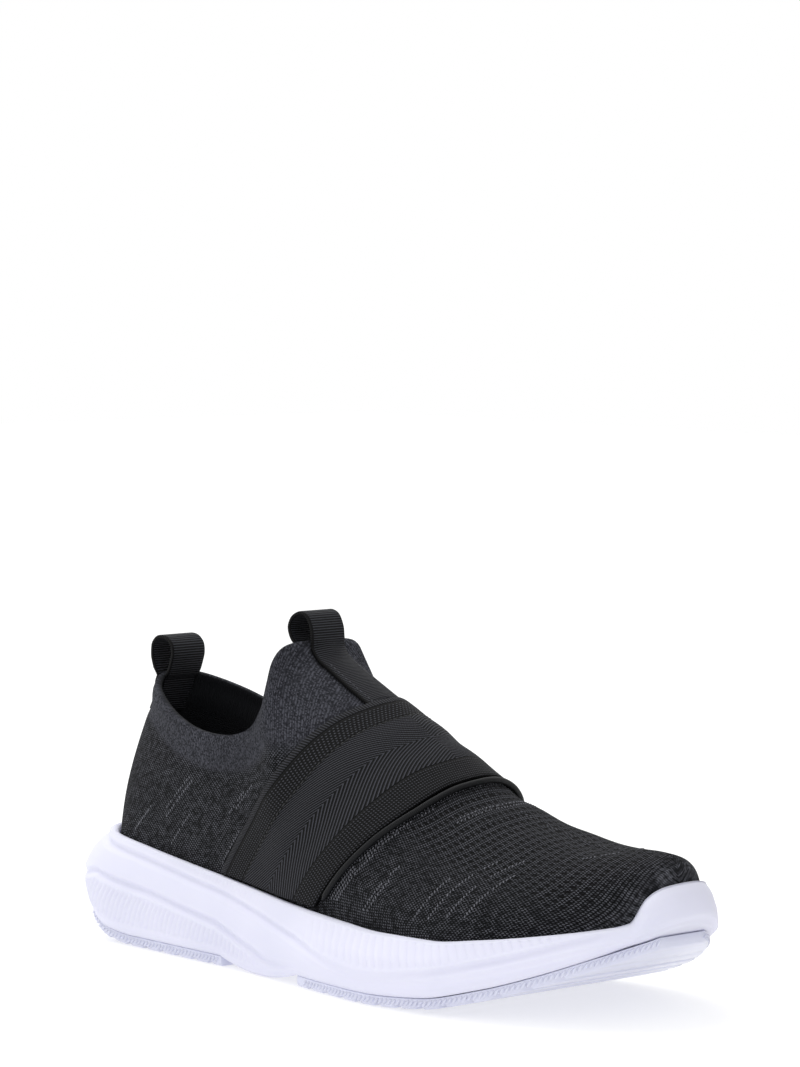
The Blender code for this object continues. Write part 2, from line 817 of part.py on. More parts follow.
def centred(pieces, wide):
    """Moves every piece by the same step, so that the widest piece's outline is centred on the origin."""
    xs = [v.co.x for v in wide.data.vertices]
    ys = [v.co.y for v in wide.data.vertices]
    step = Matrix.Translation((-0.5 * (min(xs) + max(xs)), -0.5 * (min(ys) + max(ys)), 0))
    for piece in pieces:
        piece.data.transform(step)


cup = midsole()
rubber_pad("heel_outsole", HEEL_PAD, HEEL_PAD[0] + 0.028)
rubber_pad("forefoot_outsole", TOE_PAD, TOE_PAD[0] + 0.024)
skin = face_of(upper())
insole()
strap(skin)
piping(skin)
heel_loop(skin)
tongue_loop(skin)
centred(shoe.objects, cup)
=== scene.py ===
# %% [markdown]
# # A slip-on sneaker and its looks
# The shoe is a right shoe. Metres are used, +X points to the toe, +Y to the inner side of the foot,
# +Z up. Every visible piece is drawn again here, finer than the solids, by the same section tables
# and rules. This first cell loads the solids as a fixed frame.

import math

import bmesh
import bpy
import numpy as np
from mathutils import Matrix, Vector
from mathutils.bvhtree import BVHTree


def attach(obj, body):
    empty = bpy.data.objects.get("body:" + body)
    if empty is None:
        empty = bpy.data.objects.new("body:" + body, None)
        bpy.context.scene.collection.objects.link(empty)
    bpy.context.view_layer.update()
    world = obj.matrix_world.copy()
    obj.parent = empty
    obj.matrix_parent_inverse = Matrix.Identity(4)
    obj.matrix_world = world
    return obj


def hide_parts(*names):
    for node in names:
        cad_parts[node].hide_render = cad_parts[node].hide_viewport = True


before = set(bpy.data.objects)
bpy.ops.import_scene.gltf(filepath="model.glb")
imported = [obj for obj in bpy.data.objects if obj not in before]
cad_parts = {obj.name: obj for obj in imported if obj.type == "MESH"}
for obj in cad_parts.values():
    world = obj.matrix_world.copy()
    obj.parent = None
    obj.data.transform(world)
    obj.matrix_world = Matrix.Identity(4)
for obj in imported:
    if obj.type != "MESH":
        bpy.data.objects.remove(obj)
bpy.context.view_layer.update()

# %% [markdown]
# ## Sizes and section tables
# A shoe is drawn by sections. Each table row is a station along the shoe, as a share of its length
# from the heel. PLAN is the outline from above, SIDE the heights of the sole, GROOVES the two lines
# pressed in its side. CROWN says where each rib of the upper ends, on the ridge of the vamp or on the
# collar, and how it bends. STRAP gives both edges of the elastic by how far up the foot it is.

# %% Sizes and tables
SOLE_LENGTH = 0.272
BALL_WIDTH = 0.096
SOLE_HEIGHT = 0.040
SHOE_HEIGHT = 0.113
KNIT_WALL = 0.0022
STRAP_THICKNESS = 0.0014
AXIS_HEIGHT = 0.046
RIM_CLEAR = 0.0008
CORD_RADIUS = 0.0011
TAPE_WIDTH = 0.0155
TAPE_THICKNESS = 0.0012
RUBBER = 0.0036
LUG_DEPTH = 0.0013
LUG_PITCH = 0.0094
INSOLE_THICKNESS = 0.0032
RIM_WIDTH = 0.0030
GROOVE_DEPTH = 0.0013
GROOVE_HALF = 0.0013
OUTER_ARCH = -0.0036
INNER_ARCH = 0.0030
GAP = 0.0003
FOOT_INSET = 0.0028
TAB_TIP = 0.470
TAB_STATIONS = (0.408, 0.428, 0.446, 0.460, TAB_TIP, 0.486, 0.505)
LOOP_WIDTH = 0.0120
HEEL_LOOP_HEIGHT = 0.0142
TONGUE_LOOP_HEIGHT = 0.0142
HEEL_PAD = (0.035, 0.335)
TOE_PAD = (0.500, 0.992)

PLAN = (
    # along, lateral, medial
    (0.000, 0.000, 0.000),
    (0.030, 0.250, 0.215),
    (0.080, 0.325, 0.295),
    (0.160, 0.346, 0.332),
    (0.260, 0.378, 0.335),
    (0.360, 0.408, 0.325),
    (0.460, 0.455, 0.340),
    (0.560, 0.526, 0.395),
    (0.650, 0.566, 0.462),
    (0.740, 0.556, 0.498),
    (0.820, 0.500, 0.485),
    (0.890, 0.412, 0.415),
    (0.950, 0.276, 0.298),
    (0.985, 0.146, 0.186),
    (1.000, -0.030, 0.040),
)
SIDE = (
    # along, rim, footbed, tread, inset
    (0.000, 0.990, 0.640, 0.430, 0.0140),
    (0.050, 0.970, 0.620, 0.170, 0.0125),
    (0.100, 0.935, 0.600, 0.030, 0.0098),
    (0.150, 0.898, 0.580, 0.000, 0.0085),
    (0.200, 0.860, 0.560, 0.000, 0.0078),
    (0.350, 0.740, 0.500, 0.000, 0.0080),
    (0.460, 0.655, 0.445, 0.000, 0.0084),
    (0.560, 0.605, 0.390, 0.000, 0.0108),
    (0.650, 0.575, 0.350, 0.000, 0.0118),
    (0.740, 0.580, 0.335, 0.035, 0.0104),
    (0.820, 0.640, 0.390, 0.155, 0.0084),
    (0.890, 0.710, 0.490, 0.310, 0.0070),
    (0.945, 0.775, 0.620, 0.465, 0.0062),
    (0.972, 0.830, 0.690, 0.550, 0.0052),
    (0.984, 1.030, 0.730, 0.590, 0.0046),
    (0.993, 1.110, 0.765, 0.630, 0.0042),
    (1.000, 1.140, 0.790, 0.670, 0.0040),
)
GROOVES = (
    # along, low, low_depth, high, high_depth
    (0.000, 0.220, 0.4, 0.880, 1.0),
    (0.030, 0.340, 0.7, 0.880, 1.0),
    (0.080, 0.560, 1.0, 0.880, 1.0),
    (0.180, 0.545, 1.0, 0.865, 1.0),
    (0.270, 0.480, 1.0, 0.830, 1.0),
    (0.350, 0.410, 1.0, 0.790, 1.0),
    (0.410, 0.320, 0.9, 0.740, 1.0),
    (0.460, 0.200, 0.5, 0.660, 1.0),
    (0.520, 0.140, 0.0, 0.520, 0.8),
    (0.590, 0.140, 0.0, 0.370, 0.5),
    (0.660, 0.140, 0.0, 0.320, 0.2),
    (0.750, 0.140, 0.2, 0.430, 0.5),
    (0.860, 0.140, 0.4, 0.560, 0.8),
    (0.940, 0.160, 0.4, 0.690, 0.8),
    (0.970, 0.170, 0.4, 0.720, 0.3),
    (1.000, 0.180, 0.4, 0.720, 0.0),
)
SWELL = (
    # height, foot, rim
    (0.00, 1.00, 0.00),
    (0.12, 0.42, 0.00),
    (0.35, 0.00, 0.02),
    (0.60, 0.00, 0.24),
    (0.85, 0.00, 0.70),
    (1.00, 0.00, 1.00),
)
CROWN = (
    # rim, along, across, height, lean, fold, rise, reach, turn
    (1.000, 0.962, 0.010, 0.480, 0, 80, 0.60, 0.55, 1.0),
    (0.985, 0.952, 0.011, 0.480, 0, 82, 0.60, 0.55, 0.9),
    (0.950, 0.926, 0.012, 0.485, 2, 86, 0.58, 0.52, 0.5),
    (0.890, 0.872, 0.014, 0.480, 6, 90, 0.56, 0.46, 0.0),
    (0.820, 0.815, 0.018, 0.490, 8, 90, 0.56, 0.44, 0.0),
    (0.740, 0.742, 0.022, 0.527, 8, 90, 0.56, 0.40, 0.0),
    (0.680, 0.678, 0.026, 0.582, 6, 90, 0.52, 0.36, 0.0),
    (0.630, 0.618, 0.026, 0.653, 5, 90, 0.50, 0.33, 0.0),
    (0.580, 0.550, 0.024, 0.756, 4, 90, 0.46, 0.31, 0.0),
    (0.545, 0.493, 0.020, 0.820, 2, 90, 0.44, 0.30, 0.0),
    (0.515, 0.439, 0.014, 0.880, 0, 90, 0.42, 0.30, 0.0),
    (0.490, 0.401, 0.008, 0.934, 0, 90, 0.38, 0.32, 0.0),
    (0.470, 0.378, 0.004, 0.978, 0, 90, 0.36, 0.34, 0.0),
    (0.456, 0.375, -0.135, 0.983, 0, 64, 0.33, 0.29, 0.0),
    (0.438, 0.370, -0.208, 0.955, 0, 44, 0.32, 0.28, 0.0),
    (0.412, 0.370, -0.243, 0.872, 0, 31, 0.31, 0.27, 0.1),
    (0.376, 0.372, -0.260, 0.775, 0, 20, 0.30, 0.27, 0.5),
    (0.328, 0.350, -0.275, 0.706, 0, 12, 0.32, 0.28, 0.9),
    (0.266, 0.292, -0.280, 0.686, 0, 10, 0.36, 0.30, 1.0),
    (0.195, 0.226, -0.270, 0.712, 0, 12, 0.36, 0.30, 1.0),
    (0.130, 0.174, -0.230, 0.765, 0, 14, 0.36, 0.30, 1.0),
    (0.070, 0.134, -0.165, 0.805, 0, 16, 0.36, 0.30, 1.0),
    (0.025, 0.112, -0.088, 0.830, 2, 16, 0.36, 0.30, 1.0),
    (0.000, 0.104, 0.000, 0.838, 2, 16, 0.36, 0.30, 1.0),
)
STRAP = (
    # way, rear, front
    (0.00, 0.322, 0.516),
    (0.14, 0.345, 0.552),
    (0.28, 0.369, 0.591),
    (0.40, 0.393, 0.618),
    (0.50, 0.418, 0.632),
    (0.62, 0.443, 0.640),
    (0.76, 0.468, 0.645),
    (0.90, 0.487, 0.649),
    (1.00, 0.494, 0.650),
)
FOLD = (
    # out, up
    (0.30, 0.16),
    (0.50, 0.42),
    (0.57, 0.68),
    (0.42, 0.92),
    (0.10, 1.00),
    (-0.20, 0.90),
    (-0.33, 0.62),
    (-0.32, 0.34),
    (-0.28, 0.14),
)
print("tables:", len(PLAN), "outline rows and", len(CROWN), "ribs")

# %% [markdown]
# ## Reading the tables
# `smooth` runs a curve through a column that never overshoots its rows, so a groove or an edge stays
# calm between two stations. It takes whole arrays of places at once. Near heel and toe a share of the
# length is turned into an angle first, which makes both ends of the outline come out round.

# %% Curves through the tables


def smooth(table, column, at, turn=None):
    rows = np.array(sorted(table))
    xs, ys = rows[:, 0], rows[:, column]
    x = np.clip(np.asarray(at, float), xs[0], xs[-1])
    if turn is not None:
        xs, x = turn(xs), turn(x)
    steps = np.diff(ys) / np.diff(xs)
    product = steps[:-1] * steps[1:]
    total = np.where(product > 0, steps[:-1] + steps[1:], 1)
    slopes = np.concatenate([steps[:1], np.where(product > 0, 2 * product / total, 0), steps[-1:]])
    i = np.clip(np.searchsorted(xs, x, side="right") - 1, 0, len(xs) - 2)
    h = xs[i + 1] - xs[i]
    s = (x - xs[i]) / h
    first = (1 + 2 * s) * (1 - s) ** 2 * ys[i] + s * (1 - s) ** 2 * h * slopes[i]
    return first + s * s * (3 - 2 * s) * ys[i + 1] + s * s * (s - 1) * h * slopes[i + 1]


def round_end(share):
    return np.arccos(1 - 2 * np.clip(share, 0.0, 1.0))


def swing(turn):
    """The share of the length at a turn, which runs from 0 at the heel to 1 at the toe."""
    return 0.5 - 0.5 * np.cos(math.pi * turn)


def soft_step(low, high, value):
    s = np.clip((value - low) / (high - low), 0, 1)
    return s * s * (3 - 2 * s)


def bell(value, centre, half):
    return np.exp(-(((value - centre) / half) ** 2))


def unit(vectors):
    return vectors / np.maximum(np.linalg.norm(vectors, axis=-1, keepdims=True), 1e-9)


def outline(share, side):
    width = np.where(side < 0, smooth(PLAN, 1, share, round_end), smooth(PLAN, 2, share, round_end))
    return np.stack([(share - 0.5) * SOLE_LENGTH, side * width * BALL_WIDTH, 0 * share], -1)


def outward(share, side):
    turn = round_end(share) / math.pi
    small = 0.004
    low, high = np.clip(turn - small, 0, 1), np.clip(turn + small, 0, 1)
    along = outline(swing(high), side) - outline(swing(low), side)
    normal = unit(np.stack([-along[..., 1] * side, along[..., 0] * side, 0 * share], -1))
    normal = np.where((turn < small)[..., None], [-1.0, 0, 0], normal)
    return np.where((turn > 1 - small)[..., None], [1.0, 0, 0], normal)


def inset_point(share, side, inset, height):
    point = outline(share, side) - outward(share, side) * np.asarray(inset)[..., None]
    point[..., 2] = height
    return point


def level(column, share):
    return smooth(SIDE, column, share) * SOLE_HEIGHT


def arch(share, side):
    middle, half = 0.5 * (HEEL_PAD[1] + TOE_PAD[0]), 0.5 * (TOE_PAD[0] - HEEL_PAD[1])
    return np.where(side < 0, OUTER_ARCH, INNER_ARCH) * np.maximum(0, 1 - ((share - middle) / half) ** 2)


def foam_bottom(share, side):
    return np.maximum(level(3, share), 0) + RUBBER + GAP + arch(share, side)


def upper_inset(share):
    return smooth(SIDE, 4, share)


def ring(count, extra=()):
    """Stations and sides once round the shoe: the outer side from heel to toe, then the inner side back."""
    plain = swing(np.arange(count + 1) / count)
    if len(extra):
        plain = np.array([s for s in plain if not extra[0] - 0.01 < s < extra[-1] + 0.01])
        plain = np.sort(np.concatenate([plain, extra]))
    shares = np.concatenate([plain, plain[-2:0:-1]])
    sides = np.concatenate([-np.ones(len(plain)), np.ones(len(plain) - 2)])
    return shares, sides


probe, probe_side = ring(400)
widest = outline(probe, probe_side)
PLACE = -0.5 * (widest.min(0) + widest.max(0))
print("the outline is centred by", np.round(PLACE * 1000, 2), "mm")

# %% [markdown]
# ## Meshes from rings
# Most pieces are rings of points joined by four-sided faces. Values that the materials need, such as
# how far a point lies up the rib, travel with the points as attributes. Everything is drawn in the
# tables' own frame and moved by PLACE at the end, which puts the middle of the sole's outline over
# the origin, as in the solids.

# %% Mesh helpers
made_pieces = []


def loft_faces(rows, count, closed=True):
    faces = []
    for r in range(rows - 1):
        for i in range(count if closed else count - 1):
            j = (i + 1) % count
            faces.append((r * count + i, r * count + j, (r + 1) * count + j, (r + 1) * count + i))
    return faces


def linked(name, data):
    """Puts data into the scene as one object."""
    made = bpy.data.objects.new(name, data)
    bpy.context.scene.collection.objects.link(made)
    return made


def capped(faces, rows, count):
    """Closes the first and the last ring with one face each."""
    faces.append(tuple(reversed(range(count))))
    faces.append(tuple((rows - 1) * count + i for i in range(count)))
    return faces


def mesh_object(name, points, faces, values=None, weld=0.00002):
    mesh = bpy.data.meshes.new(name)
    mesh.from_pydata([tuple(p) for p in points], [], faces)
    for key, numbers in (values or {}).items():
        layer = mesh.attributes.new(key, "FLOAT", "POINT")
        layer.data.foreach_set("value", np.asarray(numbers, float).ravel())
    work = bmesh.new()
    work.from_mesh(mesh)
    bmesh.ops.remove_doubles(work, verts=work.verts, dist=weld)
    bmesh.ops.recalc_face_normals(work, faces=work.faces)
    for face in work.faces:
        face.smooth = True
    work.to_mesh(mesh)
    work.free()
    return linked(name, mesh)


def baked(made):
    """Applies the modifiers for good."""
    bpy.context.view_layer.update()
    view = bpy.context.evaluated_depsgraph_get()
    mesh = bpy.data.meshes.new_from_object(made.evaluated_get(view))
    made.modifiers.clear()
    made.data = mesh
    for face in mesh.polygons:
        face.use_smooth = True
    return made


def refined(made, levels):
    finer = made.modifiers.new("finer", "SUBSURF")
    finer.levels = finer.render_levels = levels
    return baked(made)


def thickened(made, thickness, offset):
    wall = made.modifiers.new("wall", "SOLIDIFY")
    wall.thickness, wall.offset, wall.use_rim = thickness, offset, True
    wall.use_even_offset = False
    return baked(made)


def places(made):
    co = np.empty(len(made.data.vertices) * 3)
    made.data.vertices.foreach_get("co", co)
    return co.reshape(-1, 3)


def normals(made):
    out = np.empty(len(made.data.vertices) * 3)
    made.data.vertex_normals.foreach_get("vector", out)
    return out.reshape(-1, 3)


def distances(path):
    """How far each point of a path is from its first, along the path."""
    return np.concatenate([[0], np.cumsum(np.linalg.norm(np.diff(path, axis=0), axis=-1))])


def set_places(made, points):
    made.data.vertices.foreach_set("co", np.ascontiguousarray(points, float).ravel())
    made.data.update()


def value(made, key):
    out = np.empty(len(made.data.vertices))
    made.data.attributes[key].data.foreach_get("value", out)
    return out


def set_vector(made, key, *columns):
    layer = made.data.attributes.new(key, "FLOAT_VECTOR", "POINT")
    layer.data.foreach_set("vector", np.stack(columns, -1).astype(float).ravel())


def hand_over(made, looks, node=None):
    """Gives a finished piece its material and its body, hides the solid that it stands for, and moves it to
    its place.
    """
    set_places(made, places(made) + PLACE)
    made.data.materials.clear()
    made.data.materials.append(looks)
    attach(made, "root")
    if node:
        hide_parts(node)
    made.data.calc_loop_triangles()
    made_pieces.append(made)
    print(made.name, len(made.data.loop_triangles), "triangles")
    return made


# %% [markdown]
# ## Materials by formula
# Woven and knitted cloth is a regular thing, so its looks are worked out from millimetres by
# formulas. `Wire` wraps a node's output and lets a formula be written like plain arithmetic; each
# operation adds one Math node. Colours are typed as they appear on screen and turned into linear
# light by one function.

# %% Shader helpers


def colour(text):
    parts = [int(text[i : i + 2], 16) / 255 for i in (0, 2, 4)]
    return [c / 12.92 if c <= 0.04045 else ((c + 0.055) / 1.055) ** 2.4 for c in parts]


class Wire:
    def __init__(self, tree, socket):
        self.tree, self.socket = tree, socket

    def calc(self, operation, *others):
        node = self.tree.nodes.new("ShaderNodeMath")
        node.operation = operation
        for place, item in enumerate((self, *others)):
            if isinstance(item, Wire):
                self.tree.links.new(item.socket, node.inputs[place])
            else:
                node.inputs[place].default_value = item
        return Wire(self.tree, node.outputs[0])

    def __add__(self, other):
        return self.calc("ADD", other)

    def __sub__(self, other):
        return self.calc("SUBTRACT", other)

    def __mul__(self, other):
        return self.calc("MULTIPLY", other)

    def __rsub__(self, other):
        return self.calc("MULTIPLY", -1.0).calc("ADD", other)

    def cos(self):
        return self.calc("COSINE")

    def abs(self):
        return self.calc("ABSOLUTE")

    def floor(self):
        return self.calc("FLOOR")

    def over(self, limit, soft):
        """0 below the limit, 1 above it, with a soft change between."""
        node = self.tree.nodes.new("ShaderNodeMapRange")
        node.interpolation_type = "SMOOTHSTEP"
        node.inputs["From Min"].default_value = limit - soft
        node.inputs["From Max"].default_value = limit + soft
        self.tree.links.new(self.socket, node.inputs["Value"])
        return Wire(self.tree, node.outputs["Result"])

    def near(self, centre, half):
        """A bump of height 1 round a value, falling to 0 at half the given distance each way."""
        return 1.0 - (self - centre).abs().over(half * 0.5, half * 0.5)


def wave(wire, pitch):
    """Runs from 1 to 0 and back over each pitch."""
    return (wire * (2 * math.pi / pitch)).cos() * 0.5 + 0.5


def material(name, **settings):
    made = bpy.data.materials.new(name)
    made.use_nodes = True
    shader = made.node_tree.nodes["Principled BSDF"]
    for key, number in settings.items():
        shader.inputs[key.replace("_", " ")].default_value = number
    return made, made.node_tree, shader


def read(tree, key):
    """The three numbers of a vector attribute as wires."""
    node = tree.nodes.new("ShaderNodeAttribute")
    node.attribute_name = key
    split = tree.nodes.new("ShaderNodeSeparateXYZ")
    tree.links.new(node.outputs["Vector"], split.inputs[0])
    return [Wire(tree, split.outputs[i]) for i in range(3)]


def noise(tree, vector, scale, detail=2.0):
    node = tree.nodes.new("ShaderNodeTexNoise")
    node.inputs["Scale"].default_value = scale
    node.inputs["Detail"].default_value = detail
    tree.links.new(vector, node.inputs["Vector"])
    return Wire(tree, node.outputs["Fac"])


def speckle(tree, a, b):
    """One random number for each whole-numbered cell."""
    node = tree.nodes.new("ShaderNodeTexWhiteNoise")
    node.noise_dimensions = "3D"
    cell = tree.nodes.new("ShaderNodeCombineXYZ")
    tree.links.new(a.floor().socket, cell.inputs[0])
    tree.links.new(b.floor().socket, cell.inputs[1])
    tree.links.new(cell.outputs[0], node.inputs["Vector"])
    return Wire(tree, node.outputs["Value"])


def blend(tree, amount, first, second):
    node = tree.nodes.new("ShaderNodeMix")
    node.data_type = "RGBA"
    tree.links.new(amount.socket, node.inputs["Factor"])
    for name, item in (("A", first), ("B", second)):
        socket = [s for s in node.inputs if s.name == name and s.type == "RGBA"][0]
        if isinstance(item, str):
            socket.default_value = (*colour(item), 1)
        else:
            tree.links.new(item, socket)
    return [s for s in node.outputs if s.type == "RGBA"][0]


def painted(tree, shader, base, height, depth, strength):
    """Gives a shader its colour and its relief, whose depth is in metres."""
    tree.links.new(base, shader.inputs["Base Color"])
    node = tree.nodes.new("ShaderNodeBump")
    node.inputs["Distance"].default_value = depth
    node.inputs["Strength"].default_value = strength
    tree.links.new(height.socket, node.inputs["Height"])
    tree.links.new(node.outputs[0], shader.inputs["Normal"])


def object_place(tree):
    return tree.nodes.new("ShaderNodeTexCoord").outputs["Object"]


def grainy(name, tints, cloud, grain, relief, **settings):
    """Two tints that drift with one noise, on a face roughened by another.

    cloud is a scale, a detail and a softness, grain a scale and a detail, relief a depth and a strength.
    """
    made, tree, shader = material(name, **settings)
    scale, detail, soft = cloud
    drift = noise(tree, object_place(tree), scale, detail).over(0.5, soft)
    fine = noise(tree, object_place(tree), *grain)
    painted(tree, shader, blend(tree, drift, *tints), fine, *relief)
    return made


# %% [markdown]
# ## The knitted upper
# The upper is a sock of doubled charcoal yarn about 2 mm thick. Ribs rise from the rim of the sole;
# those in front meet on a ridge, those behind end on the collar, and a tab stands up between them
# under the tongue loop. The coarse grid is the one that the solid has, so the finer skin that is
# grown from it keeps the same form.

# %% Ribs of the upper


def crown_point(rim, side):
    along, across, height = (smooth(CROWN, k, rim, round_end) for k in (1, 2, 3))
    ridge = float(smooth(CROWN, 2, TAB_TIP, round_end))
    y = np.where(rim >= TAB_TIP, across, ridge - side * (across - ridge)) * BALL_WIDTH
    return np.stack([(along - 0.5) * SOLE_LENGTH, y, height * SHOE_HEIGHT], -1)


def rib_point(rim, side, way):
    rim, side = np.asarray(rim, float), np.asarray(side, float)
    start = inset_point(rim, side, upper_inset(rim), level(1, rim) - 0.001)
    end = crown_point(rim, side)
    lean, fold, rise, reach, turn = (smooth(CROWN, k, rim, round_end) for k in (4, 5, 6, 7, 8))
    lean, fold = np.radians(lean)[..., None], np.radians(fold)[..., None]
    inward = end - start
    inward[..., 2] = 0
    inward = unit(inward)
    up = np.array([0.0, 0, 1])
    first = (up * np.cos(lean) - inward * np.sin(lean)) * ((end - start)[..., 2] * rise)[..., None]
    chord = np.linalg.norm(end - start, axis=-1)
    final = unit(inward * np.stack([turn, 1 + 0 * turn, 0 * turn], -1))
    last = (up * np.cos(fold) + final * np.sin(fold)) * (chord * reach)[..., None]
    b, c = start + first, end - last
    w, v = way, 1 - way
    return start * v**3 + b * 3 * v * v * w + c * 3 * v * w * w + end * w**3


RIB_ROWS = 8
RELAX_STEPS = 3
stations, sides = ring(30, TAB_STATIONS)
ways = [i / RIB_ROWS for i in range(RIB_ROWS + 1)]
grid = np.array([rib_point(stations, sides, way) for way in ways])
for _ in range(RELAX_STEPS):
    beside = np.roll(grid, 1, 1) + np.roll(grid, -1, 1)
    grid[1:-1] = 0.5 * grid[1:-1] + 0.125 * (beside[1:-1] + grid[:-2] + grid[2:])
hem = inset_point(stations, sides, upper_inset(stations), level(2, stations) + GAP)
grid = np.concatenate([hem[None], grid])
lengths = np.linalg.norm(np.diff(grid, axis=0), axis=-1)
climb = np.concatenate([0 * lengths[:1], np.cumsum(lengths, 0)]) - lengths[0]
around = np.linalg.norm(np.roll(grid, -1, 1) - grid, axis=-1)[4]
half_turn = len(stations) // 2
travel = np.concatenate([[0], np.cumsum(around[:half_turn])])
travel = np.concatenate([travel, travel[-2:0:-1]])[: len(stations)]
skin_values = {
    "climb": climb,
    "travel": np.tile(travel, (len(grid), 1)),
}
skin_faces = loft_faces(len(grid), len(stations))
skin = mesh_object("upper_knit", grid.reshape(-1, 3), skin_faces, skin_values, 0.0001)
refined(skin, 2)
print("ridge of the vamp is", round(1000 * places(skin)[:, 2].max(), 1), "mm high at the tab")

# %% [markdown]
# ## Creases of the upper
# The knit is soft, so it dips a little in front of the strap, rolls over at the collar, hollows
# beside the ankle and sinks over the toes. Each trough or ridge is one bell, placed in metres and
# shares of the shoe. The collar band and the tab are knitted finer, 12 mm down from the edge and
# all over the tab.

# %% Creases and collar roll
COLLAR_POINTS = 260
FINE_BAND = (0.0105, 0.0130)
FINE_TAB_HEIGHT = (0.074, 0.081)


def widest_turn(along, side):
    """The turn from upright, seen from the foot's middle line, at which the rim lies."""
    rim = inset_point(along, side, upper_inset(along), level(1, along) + RIM_CLEAR)
    return np.arctan2(np.abs(rim[..., 1]), rim[..., 2] - AXIS_HEIGHT)


def edge_distance(made):
    """How far each point is from the collar's edge, in metres."""
    grid_edge = crown_point(*ring_of_collar())
    points = places(made)
    best = np.full(len(points), 1.0)
    for spot in grid_edge:
        best = np.minimum(best, np.linalg.norm(points - spot, axis=1))
    return best


def ring_of_collar():
    rims = np.linspace(0, TAB_TIP, COLLAR_POINTS)
    sides = np.repeat([-1.0, 1.0], COLLAR_POINTS)
    return np.concatenate([rims, rims]), sides


def upper_crease(share, way, side):
    """Height in metres of the creases at a place of the upper."""
    front = share - smooth(STRAP, 2, way)
    out = -0.0007 * bell(front, 0.035, 0.016) * soft_step(0.25, 0.6, way)
    out += 0.0004 * bell(front, 0.075, 0.022) * soft_step(0.3, 0.7, way)
    out -= 0.0010 * bell(share, 0.865, 0.050) * bell(way, 0.78, 0.22)
    out += 0.0006 * bell(share, 0.800, 0.030) * bell(way, 0.60, 0.20)
    out -= 0.0005 * bell(share, 0.170, 0.060) * bell(way, 0.55, 0.20)
    return out


share_at = places(skin)[:, 0] / SOLE_LENGTH + 0.5
side_at = np.where(places(skin)[:, 1] < 0, -1.0, 1.0)
turn_at = np.arctan2(np.abs(places(skin)[:, 1]), places(skin)[:, 2] - AXIS_HEIGHT)
way_at = np.clip(1 - turn_at / widest_turn(np.clip(share_at, 0, 1), side_at), 0, 1)
from_edge = edge_distance(skin)
roll = 0.0007 * bell(from_edge, 0.0032, 0.0030) - 0.0004 * bell(from_edge, 0.0100, 0.0030)
set_places(skin, places(skin) + normals(skin) * (upper_crease(share_at, way_at, side_at) + roll)[:, None])
ground = BVHTree.FromObject(skin, bpy.context.evaluated_depsgraph_get())
on_tab = soft_step(*FINE_TAB_HEIGHT, places(skin)[:, 2])
on_tab *= soft_step(0.33, 0.37, share_at) * (1 - soft_step(0.50, 0.52, share_at))
fine = np.maximum(1 - soft_step(*FINE_BAND, from_edge), on_tab)
ridge_rows = np.array([row for row in sorted(CROWN) if row[0] >= TAB_TIP])
ridge_height = np.interp(share_at, ridge_rows[:, 1], ridge_rows[:, 3] * SHOE_HEIGHT)
fall = np.abs(places(skin)[:, 1]) + np.maximum(ridge_height - places(skin)[:, 2], 0)
front_way = np.interp(fall, (0, 0.024, 0.080), (1, 0.6, 0))
in_front = share_at > 0.5 * (smooth(STRAP, 1, way_at) + smooth(STRAP, 2, way_at))
ahead = np.where(in_front, share_at - smooth(STRAP, 2, front_way), share_at - smooth(STRAP, 1, way_at))
climbed = np.where(in_front, 0.075 - 0.85 * fall, value(skin, "climb"))
set_vector(skin, "knit", ahead * SOLE_LENGTH * 1000, climbed * 1000, value(skin, "travel") * 1000)
set_vector(skin, "zone", fine, fall * 1000, 0 * fall)
thickened(skin, KNIT_WALL, -1)
depth = np.array([ground.find_nearest(Vector(spot))[3] for spot in places(skin)])
set_vector(skin, "depth", soft_step(0.0008, 0.0018, depth), 0 * depth, 0 * depth)

# %% [markdown]
# ## Knit material
# Knit is rows of small loops, each column set half a loop off the next. Dull polyester scatters light
# with almost no shine, so roughness is near 1 and a little sheen stands for loose fibres. Two greys
# of yarn are spun together, which speckles it loop by loop, and the vamp has open pits. Towards the
# tip of the toe the loops turn to a plain felt look. The collar and tab are knitted finer and look
# paler. Past the edge the inside is black.

# %% Knit material
STITCH_WIDE = 1.1
STITCH_TALL = 0.9
PIT_WIDE = 3.8
PIT_TALL = 2.5
PITS_DOWN_TO = 50.0
PITS_AHEAD_TO = 84.0
TIP_FROM = 88.0
FINE_RIB = 0.95
FINE_CELLS = 1.9


